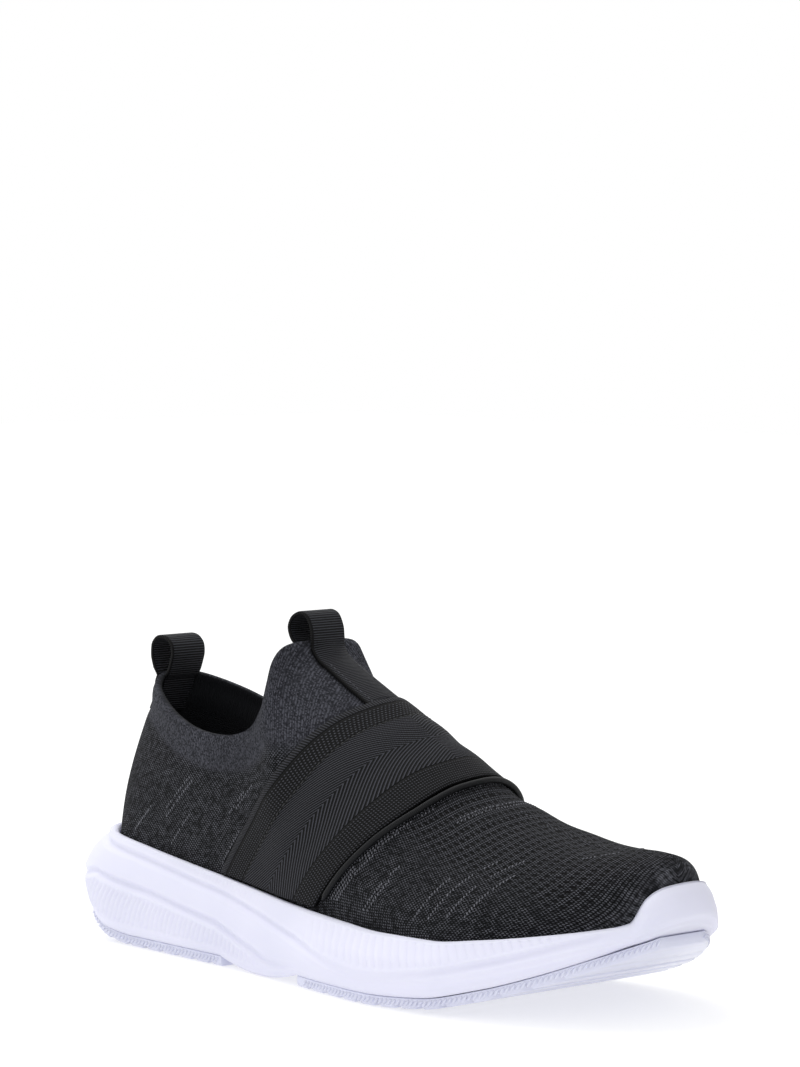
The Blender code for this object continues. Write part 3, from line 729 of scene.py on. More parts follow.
def knit_material():
    made, tree, shader = material(
        "knit", Roughness=0.95, Sheen_Weight=0.02, Sheen_Roughness=0.6, Specular_IOR_Level=0.10
    )
    row, climb, travel = read(tree, "knit")
    fine, fall, _ = read(tree, "zone")
    inside, _, _ = read(tree, "depth")
    column = row * (1 / STITCH_WIDE)
    stitch = climb * (1 / STITCH_TALL) + wave(column, 2.0) * 0.5
    legs = wave(column, 1.0).over(0.30, 0.5) * wave(stitch, 1.0)
    grain = speckle(tree, column, stitch)
    tip = row.over(TIP_FROM, 8.0)
    felted = noise(tree, object_place(tree), 1100.0).over(0.5, 0.3) * 0.3 + 0.36
    legs = legs * (1.0 - tip) + felted * tip
    pit = wave(row, PIT_WIDE) * wave(climb + wave(row, 2 * PIT_WIDE) * (PIT_TALL * 0.5), PIT_TALL)
    open_zone = (1.0 - fall.over(PITS_DOWN_TO, 9.0)) * row.over(4.0, 2.5)
    open_zone = open_zone * (1.0 - row.over(PITS_AHEAD_TO, 12.0))
    pit = pit.over(0.44, 0.16) * open_zone
    ribbing = wave(travel, FINE_RIB)
    fine_speck = speckle(tree, travel * FINE_CELLS, climb * FINE_CELLS)
    yarn = blend(tree, grain.over(0.5, 0.5), "1a1b1f", "5e5f66")
    yarn = blend(tree, open_zone * 0.5, yarn, "5a5b62")
    # The gaps between the loop legs and the open pits of the vamp are painted near black: painted shade
    # where the knit dips.
    coarse = blend(tree, legs.over(0.42, 0.30), "050607", yarn)
    coarse = blend(tree, pit * 0.95, coarse, "040405")
    pale = blend(tree, fine_speck.over(0.5, 0.45), "212227", "4d4e56")
    # The hollows between the fine ribs of collar and tab are painted darker: painted shade between the
    # ribs.
    pale = blend(tree, (1.0 - ribbing.over(0.36, 0.25)) * 0.65, pale, "1d1e23")
    outside = blend(tree, fine, coarse, pale)
    cloud = noise(tree, object_place(tree), 38.0)
    outside = blend(tree, cloud.over(0.58, 0.16) * 0.16, outside, "131417")
    base = blend(tree, inside, outside, "16171a")
    coarse_height = legs * 0.6 + grain * 0.25 - pit * 1.8
    fine_height = ribbing * 0.35 + fine_speck * 0.35
    height = coarse_height * (1.0 - fine) + fine_height * fine
    painted(tree, shader, base, height, 0.0004, 0.9)
    return made


knit_looks = knit_material()
hand_over(skin, knit_looks, "upper")

# %% [markdown]
# ## Laying things on the upper
# The strap, its piping, the tapes and the rows of pale yarn all lie on the skin. A place is asked for
# by a share of the length and a share of the turn from the rim up to the ridge, and a line cast at
# the foot's middle finds it.

# %% Places on the upper


def on_skin(along, side, way, lift):
    """Places on the skin and their outward directions: way turns from the rim to the ridge."""
    turn = side * widest_turn(along, side) * (1 - way)
    aims = np.stack([0 * turn, np.sin(turn), np.cos(turn)], -1)
    middles = np.stack([(along - 0.5) * SOLE_LENGTH, 0 * along, 0 * along + AXIS_HEIGHT], -1)
    spots, outs = [], []
    for middle, aim in zip(middles, aims):
        spot, out, _, _ = ground.ray_cast(Vector(middle + aim * BALL_WIDTH), Vector(-aim))
        spots.append(spot + out * lift)
        outs.append(out)
    return np.array(spots), np.array(outs)


def over_the_foot(rows, base):
    """Sides and ways of a line that runs from the rim over the ridge to the other rim."""
    k = np.arange(-rows, rows + 1)
    return np.where(k <= 0, -1.0, 1.0), 1 - np.abs(k) / rows * (1 - base)


# %% [markdown]
# ## Instep strap
# A wide woven elastic is pulled over the instep and sewn in at both rims. It is one sheet, 1.4 mm
# thick. Tension leaves long shallow ridges along it, and both long edges bend down to the knit.

# %% Strap
ACROSS = 28
ROWS = 60
side_k, way_k = over_the_foot(ROWS, 0.006)
strap_points, strap_a = [], []
for i in range(ACROSS + 1):
    a = i / ACROSS
    rear, front = smooth(STRAP, 1, way_k), smooth(STRAP, 2, way_k)
    ripple = 0.00035 * np.sin(a * 17.0 + way_k * 2.0) * bell(a, 0.5, 0.35) * soft_step(0, 0.3, way_k)
    lift = 0.0006 + 0.0003 * (1 - abs(2 * a - 1) ** 6) + ripple
    spots, outs = on_skin(rear + (front - rear) * a, side_k, way_k, 0.0)
    strap_points.append(spots + outs * lift[:, None])
    strap_a.append(np.full(len(way_k), a))
strap_points = np.array(strap_points)
for _ in range(2):
    strap_points[1:-1, 1:-1] = 0.5 * strap_points[1:-1, 1:-1] + 0.125 * (
        strap_points[:-2, 1:-1] + strap_points[2:, 1:-1] + strap_points[1:-1, :-2] + strap_points[1:-1, 2:]
    )
run = distances(strap_points[ACROSS // 2])
run = run - run[len(run) // 2]
strap_values = {"a": np.array(strap_a), "l": np.tile(run, (ACROSS + 1, 1))}
strap = mesh_object(
    "instep_strap_cloth",
    strap_points.reshape(-1, 3),
    loft_faces(ACROSS + 1, len(run), closed=False),
    strap_values,
)
if normals(strap)[np.argmax(places(strap)[:, 2])][2] < 0:
    strap.data.flip_normals()
set_vector(strap, "weave", value(strap, "a"), value(strap, "l") * 1000, 0 * value(strap, "a"))
thickened(strap, STRAP_THICKNESS, 1)

# %% [markdown]
# ## Strap material
# The weave changes across the strap: a band of small raised dots at each side, and between them a
# twill whose lines meet in a chevron at the middle. Dark thread is sewn where the weaves change. The
# rear edge is a plain selvage. Elastic is smoother than the knit, so the crowns of its ribs catch a faint
# light; besides, the crowns and the dots are painted lighter and the hollows near black, as painted
# highlight and painted shade. Widths and pitches are in millimetres, places across the strap are shares of
# its width.

# %% Strap material
STRAP_WIDE = 52.0
DOT_WIDE = 1.1
DOT_TALL = 1.2
SELVAGE_PITCH = 0.8
TWILL_PITCH = 1.05
TWILL_YARN = 0.7
TWILL_TURN = 0.46
SEAM_DASH = 1.9
REAR_SEAM = 0.235
FRONT_SEAM = 0.785
SELVAGE_SEAM = 0.062


def strap_material():
    made, tree, shader = material("elastic", Roughness=0.70, Specular_IOR_Level=0.14)
    a, run, _ = read(tree, "weave")
    wide = a * STRAP_WIDE
    dots = wave(wide, DOT_WIDE) * wave(run + wave(wide, 2 * DOT_WIDE) * (0.5 * DOT_TALL), DOT_TALL)
    dots = dots * a.over(0.07, 0.004)
    selvage = (wave(run, SELVAGE_PITCH) * 0.5 + 0.25) * (1.0 - a.over(0.055, 0.01))
    from_middle = (wide - 0.5 * STRAP_WIDE).abs()
    cos, sin = math.cos(TWILL_TURN), math.sin(TWILL_TURN)
    twill = wave(from_middle * cos - run.abs() * sin, TWILL_PITCH)
    yarn = wave(from_middle * sin + run.abs() * cos, TWILL_YARN)
    twill = twill * (yarn * 0.25 + 0.75)
    middle = a.over(REAR_SEAM, 0.004) * (1.0 - a.over(FRONT_SEAM, 0.004))
    height = (dots + selvage) * (1.0 - middle) + twill * middle
    seam = a.near(REAR_SEAM, 0.011) + a.near(FRONT_SEAM, 0.011) + a.near(SELVAGE_SEAM, 0.008) * 0.4
    dash = wave(run, SEAM_DASH).over(0.35, 0.15)
    height = height - seam * (dash * 0.5 + 0.9)
    # The colour follows the relief: painted highlight on the crowns of the weave and on the raised dots,
    # painted shade in the hollows.
    base = blend(tree, height.over(0.66, 0.28), "020203", "43444b")
    base = blend(tree, dots.over(0.62, 0.2) * (1.0 - middle) * 0.8, base, "46474d")
    base = blend(tree, seam * (dash * 0.5 + 0.45), base, "08090a")
    painted(tree, shader, base, height, 0.0004, 0.9)
    return made


strap_looks = strap_material()
hand_over(strap, strap_looks, "instep_strap")

# %% [markdown]
# ## Piping
# A round cord covered in a tight plain weave edges the strap in front. It is the smoothest of the
# cloths.

# %% Piping
CORD_SIDES = 12
CORD_WEAVE = 0.6


def tube(name, path, radius):
    """A round bar along a path with closed, rounded ends."""
    path = np.asarray(path)
    tangents = unit(np.gradient(path, axis=0))
    reference = np.array([0.0, 0, 1])
    rings, radii = [], np.full(len(path), radius)
    radii[0] = radii[-1] = radius * 0.55
    for spot, tangent, r in zip(path, tangents, radii):
        first = unit(np.cross(tangent, reference))
        second = np.cross(first, tangent)
        turn = 2 * math.pi * np.arange(CORD_SIDES) / CORD_SIDES
        rings.append(spot + r * (np.cos(turn)[:, None] * first + np.sin(turn)[:, None] * second))
    faces = capped(loft_faces(len(rings), CORD_SIDES), len(rings), CORD_SIDES)
    spin = np.tile(np.arange(CORD_SIDES) / CORD_SIDES, len(rings))
    values = {"run": np.repeat(distances(path), CORD_SIDES), "spin": spin}
    return mesh_object(name, np.concatenate(rings), faces, values)


side_k, way_k = over_the_foot(70, 0.040)
along = smooth(STRAP, 2, way_k) + 2.1 * CORD_RADIUS / SOLE_LENGTH
cord_path, _ = on_skin(along, side_k, way_k, CORD_RADIUS + 1.5 * GAP)
for _ in range(3):
    cord_path[1:-1] = 0.5 * cord_path[1:-1] + 0.25 * (cord_path[:-2] + cord_path[2:])
piping = tube("strap_piping_cord", cord_path, CORD_RADIUS)
set_vector(piping, "wrap", value(piping, "run") * 1000, value(piping, "spin"), 0 * value(piping, "spin"))


def piping_material():
    made, tree, shader = material("cord", Roughness=0.5, Specular_IOR_Level=0.16)
    run, spin, _ = read(tree, "wrap")
    weave = wave(run + spin * (2 * CORD_WEAVE), CORD_WEAVE)
    # The crests of the wrap are painted a little lighter than its hollows: a faint painted highlight and
    # painted shade that follow the weave.
    base = blend(tree, weave, "08090a", "17181b")
    painted(tree, shader, base, weave, 0.00008, 0.6)
    return made


hand_over(piping, piping_material(), "strap_piping")

# %% [markdown]
# ## Pull tapes
# Both pull loops are one ribbed tape, folded over the edge: at the heel both legs hang, at the tongue
# the front leg runs down the tab until it goes under the strap. Its ribs run across and are 0.85 mm
# apart.

# %% Tapes
TAPE_SHARES = np.linspace(-1, 1, 9)
TAPE_LIFT = 0.0006
TAPE_RIB = 0.85
TAPE_THREAD = 0.42


def laid(place, normal, inner):
    sense = -1 if inner else 1
    depth, found = 0.0, {}
    for k in sorted(range(len(TAPE_SHARES)), key=lambda k: abs(TAPE_SHARES[k])):
        beside = place + np.array([0, TAPE_SHARES[k] * TAPE_WIDTH / 2, 0])
        hit = ground.ray_cast(Vector(beside + normal * 0.012 * sense), Vector(-normal * sense), 0.03)[0]
        if hit is not None:
            depth = float((np.array(hit) - beside) @ normal)
        if inner:
            depth = min(depth, -KNIT_WALL)
        found[k] = beside + normal * depth
    near = [found[k] + normal * sense * TAPE_LIFT for k in range(len(TAPE_SHARES))]
    far = [found[k] + normal * sense * (TAPE_LIFT + TAPE_THICKNESS) for k in range(len(TAPE_SHARES))]
    return np.array(near), np.array(far)


def bend(points, per):
    keys = [(float(i), p[0], p[1]) for i, p in enumerate(points)]
    at = np.linspace(0, len(points) - 1, (len(points) - 1) * per + 1)
    return list(zip(smooth(keys, 1, at), smooth(keys, 2, at)))


def free_sections(outer, inner, height):
    first, last = np.concatenate(outer).mean(0), np.concatenate(inner).mean(0)
    middle = 0.5 * (first + last)
    out = unit(first - last)
    up = np.array([-out[2], 0, out[0]])
    up = -up if up[2] < 0 else up
    line = [middle + out * o * LOOP_WIDTH + up * u * height for o, u in bend(FOLD, 5)]
    sections = []
    for i, spot in enumerate(line):
        along = unit(line[min(i + 1, len(line) - 1)] - line[max(i - 1, 0)])
        away = np.array([-along[2], 0, along[0]])
        if away @ (spot - (middle + up * 0.5 * height)) < 0:
            away = -away
        rows = []
        for face in (-0.5, 0.5):
            centre = spot + away * face * TAPE_THICKNESS
            rows.append(np.array([centre + np.array([0, s * TAPE_WIDTH / 2, 0]) for s in TAPE_SHARES]))
        sections.append(tuple(rows))
    return sections


def tape(name, sections):
    count = 2 * len(TAPE_SHARES)
    points = np.concatenate([np.concatenate([near, far[::-1]]) for near, far in sections])
    faces = []
    for i in range(len(sections) - 1):
        for k in range(count):
            a, b = count * i + k, count * i + (k + 1) % count
            faces.append((a, b, b + count, a + count))
    for start in (0, count * (len(sections) - 1)):
        for k in range(len(TAPE_SHARES) - 1):
            a, b = start + k, start + count - 1 - k
            faces.append((a, a + 1, b - 1, b))
    middles = np.array([np.concatenate([near, far]).mean(0) for near, far in sections])
    across = np.concatenate([TAPE_SHARES, TAPE_SHARES[::-1]])
    values = {"run": np.repeat(distances(middles), count), "across": np.tile(across, len(sections))}
    made = mesh_object(name, points, faces, values)
    round_edge = made.modifiers.new("round_edge", "BEVEL")
    round_edge.width, round_edge.segments = 0.0003, 2
    baked(made)
    set_vector(made, "tape", value(made, "run") * 1000, value(made, "across"), 0 * value(made, "run"))
    return made


def heel_sections():
    outer, inner = [], []
    for way in np.linspace(0.74, 0.97, 12):
        one, side = np.array([0.0]), np.array([-1.0])
        place = rib_point(one, side, way)[0]
        up = unit(rib_point(one, side, min(way + 0.01, 1))[0] - rib_point(one, side, way - 0.01)[0])
        normal = np.array([-up[2], 0, up[0]])
        outer.append(laid(place, normal, False))
        inner.append(laid(place, normal, True))
    inner.reverse()
    return outer + free_sections(outer[-1], inner[0], HEEL_LOOP_HEIGHT) + inner


def tongue_sections():
    start = float(smooth(STRAP, 1, 1.0)) - 0.0035
    tip = float(smooth(CROWN, 1, TAB_TIP, round_end)) + 0.011
    steps = 26
    alongs = np.linspace(start, tip, steps + 1)
    side, way = -np.ones(steps + 1), np.ones(steps + 1)
    here, _ = on_skin(alongs, side, way, 0.0)
    there, _ = on_skin(alongs + 0.004, side, way, 0.0)
    outer, inner = [], []
    for i in range(steps + 1):
        slope = unit((here[i] - there[i]) * np.array([1, 0, 1]))
        normal = np.array([-slope[2], 0, slope[0]])
        normal = -normal if normal[2] < 0 else normal
        place = here[i] * np.array([1, 0, 1])
        outer.append(laid(place, normal, False))
        if i > steps - 9:
            inner.append(laid(place, normal, True))
    inner.reverse()
    return outer + free_sections(outer[-1], inner[0], TONGUE_LOOP_HEIGHT) + inner


def tape_material():
    made, tree, shader = material("tape", Roughness=0.62, Specular_IOR_Level=0.14)
    run, across, _ = read(tree, "tape")
    ribs = wave(run, TAPE_RIB)
    thread = wave(across * (TAPE_WIDTH * 500), TAPE_THREAD)
    height = ribs * (thread * 0.15 + 0.85)
    selvedge = across.abs().over(0.93, 0.03)
    height = height * (1.0 - selvedge * 0.6)
    # As on the strap, the colour follows the ribs: painted highlight on their crests, painted shade between
    # them and on the flatter selvedges.
    base = blend(tree, height.over(0.66, 0.26), "020203", "3a3b41")
    painted(tree, shader, base, height, 0.0003, 0.85)
    return made


tape_looks = tape_material()
heel_tape = tape("heel_loop_tape", heel_sections())
tongue_tape = tape("tongue_loop_tape", tongue_sections())
hand_over(heel_tape, tape_looks, "heel_loop")
hand_over(tongue_tape, tape_looks, "tongue_loop")

# %% [markdown]
# ## The foam sole
# The cup is moulded in one piece from light foam. Its side has two grooves that run down from the
# heel and sink into the arch, short upright ribs under the rim at the heel, slanted ribs in the
# heel's lower panel and in the forefoot's upper band, and a plain bumper at the toe. The ribs are
# real steps in the skin, 0.35 to 0.62 mm deep. RIBS gives their pitch and depth in metres, how much
# they lean with height and how sharp they are. The wall is drawn up to WALL_TOP of its height, where
# the rim rolls over.

# %% Foam cup
WALL_LEVELS = 46
CUP_STATIONS = 520
WALL_TOP = 0.975
RIM_ROLL = 0.0004
CREST_DEPTH = 0.00035
RIBS = {
    # place: pitch, lean, depth, sharpness
    "heel_band": (0.0018, 0.0, 0.00052, 1),
    "heel_panel": (0.0027, -0.55, 0.00062, 1),
    "fore_band": (0.0038, 0.75, 0.00045, 3),
}
TOE_BULGE = 0.0009
TOE_ROLL = 0.0014
ROLL_FROM = 0.72


def side_inset(share, height):
    foot, rim = smooth(SWELL, 1, height), smooth(SWELL, 2, height)
    return foot * FOOT_INSET + rim * (upper_inset(share) - RIM_WIDTH)


def groove(t, centre, half):
    return np.maximum(0, 1 - ((t - centre) / half) ** 2) ** 1.5


def toe_round(share, t):
    """Rounds the toe bumper: a slow bulge up its height and a rolled top edge."""
    at_toe = soft_step(0.93, 0.975, share)
    rolled = np.maximum(0, (t - ROLL_FROM) / (1 - ROLL_FROM))
    return at_toe * (TOE_BULGE * (2 * t - 1) ** 2 + TOE_ROLL * rolled**2)


def rib(name, run, z):
    """How far a row of ribs is cut, from 0 to 1 and back over each pitch."""
    pitch, lean, _, sharpness = RIBS[name]
    return (0.5 - 0.5 * np.cos(2 * math.pi * (run + lean * z) / pitch)) ** sharpness


def cup_side(share, side, t, run):
    """A point of the cup's side: t is the share of the wall height, run the distance round the outline."""
    low, low_deep, high, high_deep = (smooth(GROOVES, k, share) for k in (1, 2, 3, 4))
    bottom, top = foam_bottom(share, side), level(1, share)
    wall = top - bottom
    half = 1.35 * GROOVE_HALF / wall
    cut = np.maximum(low_deep * groove(t, low, half), high_deep * groove(t, high, half))
    inset = side_inset(share, t) + cut * GROOVE_DEPTH
    z = bottom + wall * t
    heel_band = soft_step(0.02, 0.05, t - high - half) * (1 - soft_step(0.30, 0.46, share))
    heel_panel = soft_step(0.0, 0.06, low - half - t) * soft_step(0.10, 0.16, t)
    heel_panel = heel_panel * (1 - soft_step(0.36, 0.47, share)) * soft_step(0.02, 0.06, share)
    fore_band = soft_step(0.02, 0.07, t - high - half) * soft_step(0.48, 0.58, share)
    fore_band = fore_band * (1 - soft_step(0.90, 0.93, share)) * (1 - soft_step(0.93, 0.97, t))
    for name, band in (("heel_band", heel_band), ("heel_panel", heel_panel), ("fore_band", fore_band)):
        inset = inset + RIBS[name][2] * band * rib(name, run, z)
    inset = inset + toe_round(share, t)
    return inset_point(share, side, inset, z)


def closed_floor(points, faces, first, count):
    """Fills a ring with a row of middle points."""
    middle, half = len(points), count // 2
    row = points[first : first + count]
    extra = np.array([0.5 * (row[i] + row[(count - i) % count]) for i in range(half + 1)])
    for i in range(half):
        a, b, m, n = first + i, first + i + 1, middle + i, middle + i + 1
        c, d = first + (count - i) % count, first + (count - i - 1) % count
        faces.append((a, b, n, m))
        faces.append((c, m, n, d))
    return np.concatenate([points, extra])


def foam_cup():
    dense = swing(np.linspace(0, 1, 4001))
    length = distances(outline(dense, -1 + 0 * dense))
    even = np.interp(np.linspace(0, length[-1], CUP_STATIONS), length, dense)
    run_half = np.linspace(0, length[-1], CUP_STATIONS)
    shares = np.concatenate([even, even[-2:0:-1]])
    run = np.concatenate([run_half, run_half[-2:0:-1]])
    side = np.concatenate([-np.ones(CUP_STATIONS), np.ones(CUP_STATIONS - 2)])
    rings = [cup_side(shares, side, t, run) for t in np.linspace(0, WALL_TOP, WALL_LEVELS)]
    rim = level(1, shares)
    inset = upper_inset(shares)
    crest = CREST_DEPTH * rib("heel_band", run, 0) * (1 - soft_step(0.30, 0.46, shares))
    rolled = toe_round(shares, 1.0)
    rings.append(inset_point(shares, side, inset - RIM_WIDTH * 0.97 + crest + rolled, rim - RIM_ROLL))
    rings.append(inset_point(shares, side, inset - RIM_WIDTH * 0.80 + 0.8 * rolled, rim))
    rings.append(inset_point(shares, side, inset - RIM_WIDTH * 0.35, rim))
    rings.append(inset_point(shares, side, inset - GAP, rim - RIM_ROLL))
    rings.append(inset_point(shares, side, inset - GAP, level(2, shares)))
    count = len(shares)
    points = np.concatenate(rings)
    faces = loft_faces(len(rings), count)
    points = closed_floor(points, faces, 0, count)
    points = closed_floor(points, faces, (len(rings) - 1) * count, count)
    return mesh_object("foam_cup", points, faces)


foam_looks = grainy(
    "foam",
    tints=("dadbec", "e1e1f1"),
    cloud=(28.0, 2.0, 0.35),
    grain=(900.0, 3.0),
    relief=(0.00006, 0.5),
    Roughness=0.52,
    Specular_IOR_Level=0.35,
    Subsurface_Weight=0.25,
    Subsurface_Scale=0.004,
    Subsurface_Radius=(1.0, 0.95, 1.1),
)
hand_over(foam_cup(), foam_looks, "midsole")

# %% [markdown]
# ## Rubber pads
# The outsole is clear rubber with a frosted face. It lies under heel and forefoot, has a lug every
# 9.4 mm, and rises with the toe, where its slots get shallow. Fine slanted cords are moulded round
# its edge; they are repeated by a node group further down.

# %% Rubber pads
PAD_INSET = 0.0004
PAD_CHAMFER = 0.0009
PAD_COLUMNS = 13
HEEL_LUG_FROM = 0.028
TOE_LUG_FROM = 0.024


def pad_rows(span, first_lug):
    rows, share = [], span[0]
    pitch = LUG_PITCH / SOLE_LENGTH
    slot = 0.26 * pitch
    lug_end = first_lug
    while share < lug_end - 0.004:
        rows.append((share, 0.0))
        share += 0.004
    while lug_end < span[1] - 0.4 * pitch:
        for at, cut in ((0.0, 0.0), (0.3, 1.0), (1.0, 1.0), (1.3, 0.0)):
            rows.append((lug_end + at * slot, cut))
        for step in (0.35, 0.65):
            rows.append((lug_end + 1.3 * slot + step * (pitch - 1.3 * slot), 0.0))
        lug_end += pitch
    rows = [row for row in rows if row[0] < span[1] - 0.002]
    return rows + [(span[1], 0.0)]


def rubber_pad(name, span, first_lug):
    rings = []
    shares = np.linspace(0, 1, PAD_COLUMNS)
    for at, cut in pad_rows(span, first_lug):
        one = np.array([at])
        inset = side_inset(one, np.array([0.0])) + PAD_INSET
        left = inset_point(one, np.array([-1.0]), inset, 0)[0]
        right = inset_point(one, np.array([1.0]), inset, 0)[0]
        shallow = 1 - 0.9 * soft_step(0.90, 0.95, at)
        tread = max(float(level(3, at)), 0)
        floor = tread + LUG_DEPTH * cut * shallow
        top = tread + RUBBER
        line = left + (right - left) * shares[:, None]
        low = line.copy()
        low[:, 2] = floor
        inward = unit(right - left) * PAD_CHAMFER
        low[0] += inward
        low[-1] -= inward
        up_left, up_right = line[0].copy(), line[-1].copy()
        up_left[2] = up_right[2] = floor + PAD_CHAMFER
        high = line[::-1].copy()
        high[:, 2] = top
        rings.append(np.concatenate([low, [up_right], high, [up_left]]))
    count = len(rings[0])
    faces = capped(loft_faces(len(rings), count), len(rings), count)
    made = mesh_object(name, np.concatenate(rings), faces)
    soft = made.modifiers.new("soft", "BEVEL")
    soft.width, soft.segments, soft.limit_method = 0.00025, 2, "ANGLE"
    soft.angle_limit = math.radians(40)
    return baked(made)


rubber_looks = grainy(
    "rubber",
    tints=("dcdef2", "e4e6f8"),
    cloud=(60.0, 2.0, 0.3),
    grain=(600.0, 3.0),
    relief=(0.00008, 0.6),
    Roughness=0.30,
    IOR=1.5,
    Transmission_Weight=0.15,
    Coat_Weight=0.3,
    Coat_Roughness=0.15,
)
heel_pad = rubber_pad("heel_rubber", HEEL_PAD, HEEL_PAD[0] + HEEL_LUG_FROM)
toe_pad = rubber_pad("forefoot_rubber", TOE_PAD, TOE_PAD[0] + TOE_LUG_FROM)
hand_over(heel_pad, rubber_looks, "heel_outsole")
hand_over(toe_pad, rubber_looks, "forefoot_outsole")

# %% [markdown]
# ## Insole
# A thin foam sock lies in the cup, covered in black cloth with a fine brushed face.

# %% Insole
SOCK_EDGE = (
    # lift, inset
    (GAP, 0.0006),
    (0.0010, 0.0),
    (0.0024, 0.0),
    (0.0030, 0.0003),
    (INSOLE_THICKNESS, 0.0010),
)


def sock_pad():
    shares, side = ring(120)
    clear = KNIT_WALL + 2 * GAP
    rings = []
    for lift, inset in SOCK_EDGE:
        in_from_edge = upper_inset(shares) + clear + inset
        rings.append(inset_point(shares, side, in_from_edge, level(2, shares) + lift))
    points = np.concatenate(rings)
    faces = loft_faces(len(rings), len(shares))
    points = closed_floor(points, faces, 0, len(shares))
    points = closed_floor(points, faces, (len(rings) - 1) * len(shares), len(shares))
    return mesh_object("insole_sock", points, faces)


sock_looks = grainy(
    "sock",
    tints=("060708", "101114"),
    cloud=(1400.0, 3.0, 0.3),
    grain=(1400.0, 3.0),
    relief=(0.0002, 0.8),
    Roughness=0.98,
    Specular_IOR_Level=0.06,
)
hand_over(sock_pad(), sock_looks, "insole")

# %% [markdown]
# ## Stitches and loops by one node group
# Rows of small things are repeated by Geometry Nodes. The group takes a line, sets points along it at
# a pitch, puts a little rounded bar on each and turns it to the line. The same group makes the
# strap's seams, the tapes' stitches, the rows of pale yarn loops and the cords moulded in the
# rubber's edge.

# %% Row group


def row_group():
    tree = bpy.data.node_groups.new("row_of_bars", "GeometryNodeTree")
    face = tree.interface
    face.new_socket("Geometry", in_out="INPUT", socket_type="NodeSocketGeometry")
    for name in ("Pitch", "Length", "Radius", "Tilt"):
        face.new_socket(name, in_out="INPUT", socket_type="NodeSocketFloat")
    face.new_socket("Looks", in_out="INPUT", socket_type="NodeSocketMaterial")
    face.new_socket("Geometry", in_out="OUTPUT", socket_type="NodeSocketGeometry")

    def add(kind, **settings):
        node = tree.nodes.new(kind)
        for key, item in settings.items():
            setattr(node, key, item)
        return node

    link = tree.links.new
    inside, outside = add("NodeGroupInput"), add("NodeGroupOutput")
    line = add("GeometryNodeMeshToCurve")
    link(inside.outputs["Geometry"], line.inputs["Mesh"])
    spread = add("GeometryNodeResampleCurve", mode="LENGTH")
    link(line.outputs["Curve"], spread.inputs["Curve"])
    link(inside.outputs["Pitch"], spread.inputs["Length"])
    bar = add("GeometryNodeMeshUVSphere")
    bar.inputs["Segments"].default_value = 8
    bar.inputs["Rings"].default_value = 6
    bar.inputs["Radius"].default_value = 1.0
    size = add("ShaderNodeCombineXYZ")
    half = add("ShaderNodeMath", operation="MULTIPLY")
    half.inputs[1].default_value = 0.5
    link(inside.outputs["Length"], half.inputs[0])
    link(inside.outputs["Radius"], size.inputs["X"])
    link(inside.outputs["Radius"], size.inputs["Y"])
    link(half.outputs[0], size.inputs["Z"])
    shaped = add("GeometryNodeTransform")
    link(bar.outputs["Mesh"], shaped.inputs["Geometry"])
    link(size.outputs[0], shaped.inputs["Scale"])
    tangent = add("GeometryNodeInputTangent")
    aim = add("FunctionNodeAlignRotationToVector", axis="Z")
    link(tangent.outputs[0], aim.inputs["Vector"])
    lean = add("FunctionNodeRotateRotation", rotation_space="GLOBAL")
    spin = add("FunctionNodeAxisAngleToRotation")
    out = add("GeometryNodeInputNamedAttribute", data_type="FLOAT_VECTOR")
    out.inputs["Name"].default_value = "out"
    link(out.outputs["Attribute"], spin.inputs["Axis"])
    link(inside.outputs["Tilt"], spin.inputs["Angle"])
    link(aim.outputs[0], lean.inputs["Rotation"])
    link(spin.outputs[0], lean.inputs["Rotate By"])
    scatter = add("GeometryNodeInstanceOnPoints")
    points = add("GeometryNodeCurveToPoints", mode="EVALUATED")
    link(spread.outputs["Curve"], points.inputs["Curve"])
    link(points.outputs["Points"], scatter.inputs["Points"])
    link(shaped.outputs["Geometry"], scatter.inputs["Instance"])
    keep = add("GeometryNodeStoreNamedAttribute", data_type="QUATERNION", domain="POINT")
    keep.inputs["Name"].default_value = "aim"
    link(spread.outputs["Curve"], keep.inputs["Geometry"])
    link(lean.outputs[0], keep.inputs["Value"])
    link(keep.outputs["Geometry"], points.inputs["Curve"])
    back = add("GeometryNodeInputNamedAttribute", data_type="QUATERNION")
    back.inputs["Name"].default_value = "aim"
    link(back.outputs["Attribute"], scatter.inputs["Rotation"])
    real = add("GeometryNodeRealizeInstances")
    link(scatter.outputs["Instances"], real.inputs["Geometry"])
    smooth_shade = add("GeometryNodeSetShadeSmooth")
    link(real.outputs["Geometry"], smooth_shade.inputs["Geometry"])
    paint = add("GeometryNodeSetMaterial")
    link(smooth_shade.outputs["Geometry"], paint.inputs["Geometry"])
    link(inside.outputs["Looks"], paint.inputs["Material"])
    link(paint.outputs["Geometry"], outside.inputs["Geometry"])
    return tree


ROWS_OF_BARS = row_group()


def bar_rows(name, lines, looks, pitch, length, radius, tilt=0.0):
    """Draws rows of bars along lines, each a list of places and outward directions."""
    points, edges, outs = [], [], []
    for spots, directions in lines:
        start = len(points)
        points += [tuple(p) for p in spots]
        outs += [tuple(d) for d in directions]
        edges += [(start + i, start + i + 1) for i in range(len(spots) - 1)]
    mesh = bpy.data.meshes.new(name)
    mesh.from_pydata(points, edges, [])
    layer = mesh.attributes.new("out", "FLOAT_VECTOR", "POINT")
    layer.data.foreach_set("vector", np.array(outs, float).ravel())
    made = linked(name, mesh)
    rows = made.modifiers.new("rows", "NODES")
    rows.node_group = ROWS_OF_BARS
    wanted = {"Pitch": pitch, "Length": length, "Radius": radius, "Tilt": tilt, "Looks": looks}
    for item in ROWS_OF_BARS.interface.items_tree:
        if item.in_out == "INPUT" and item.name in wanted:
            rows[item.identifier] = wanted[item.name]
    baked(made)
    return hand_over(made, looks, None)


# %% [markdown]
# ## Pale yarn loops
# Here and there the knit shows rows of loops of a light grey yarn. They run beside the strap and,
# further off, parallel to it. Each row is a short table line: how far from the strap's edge in
# millimetres, and from which share of the way up to which.

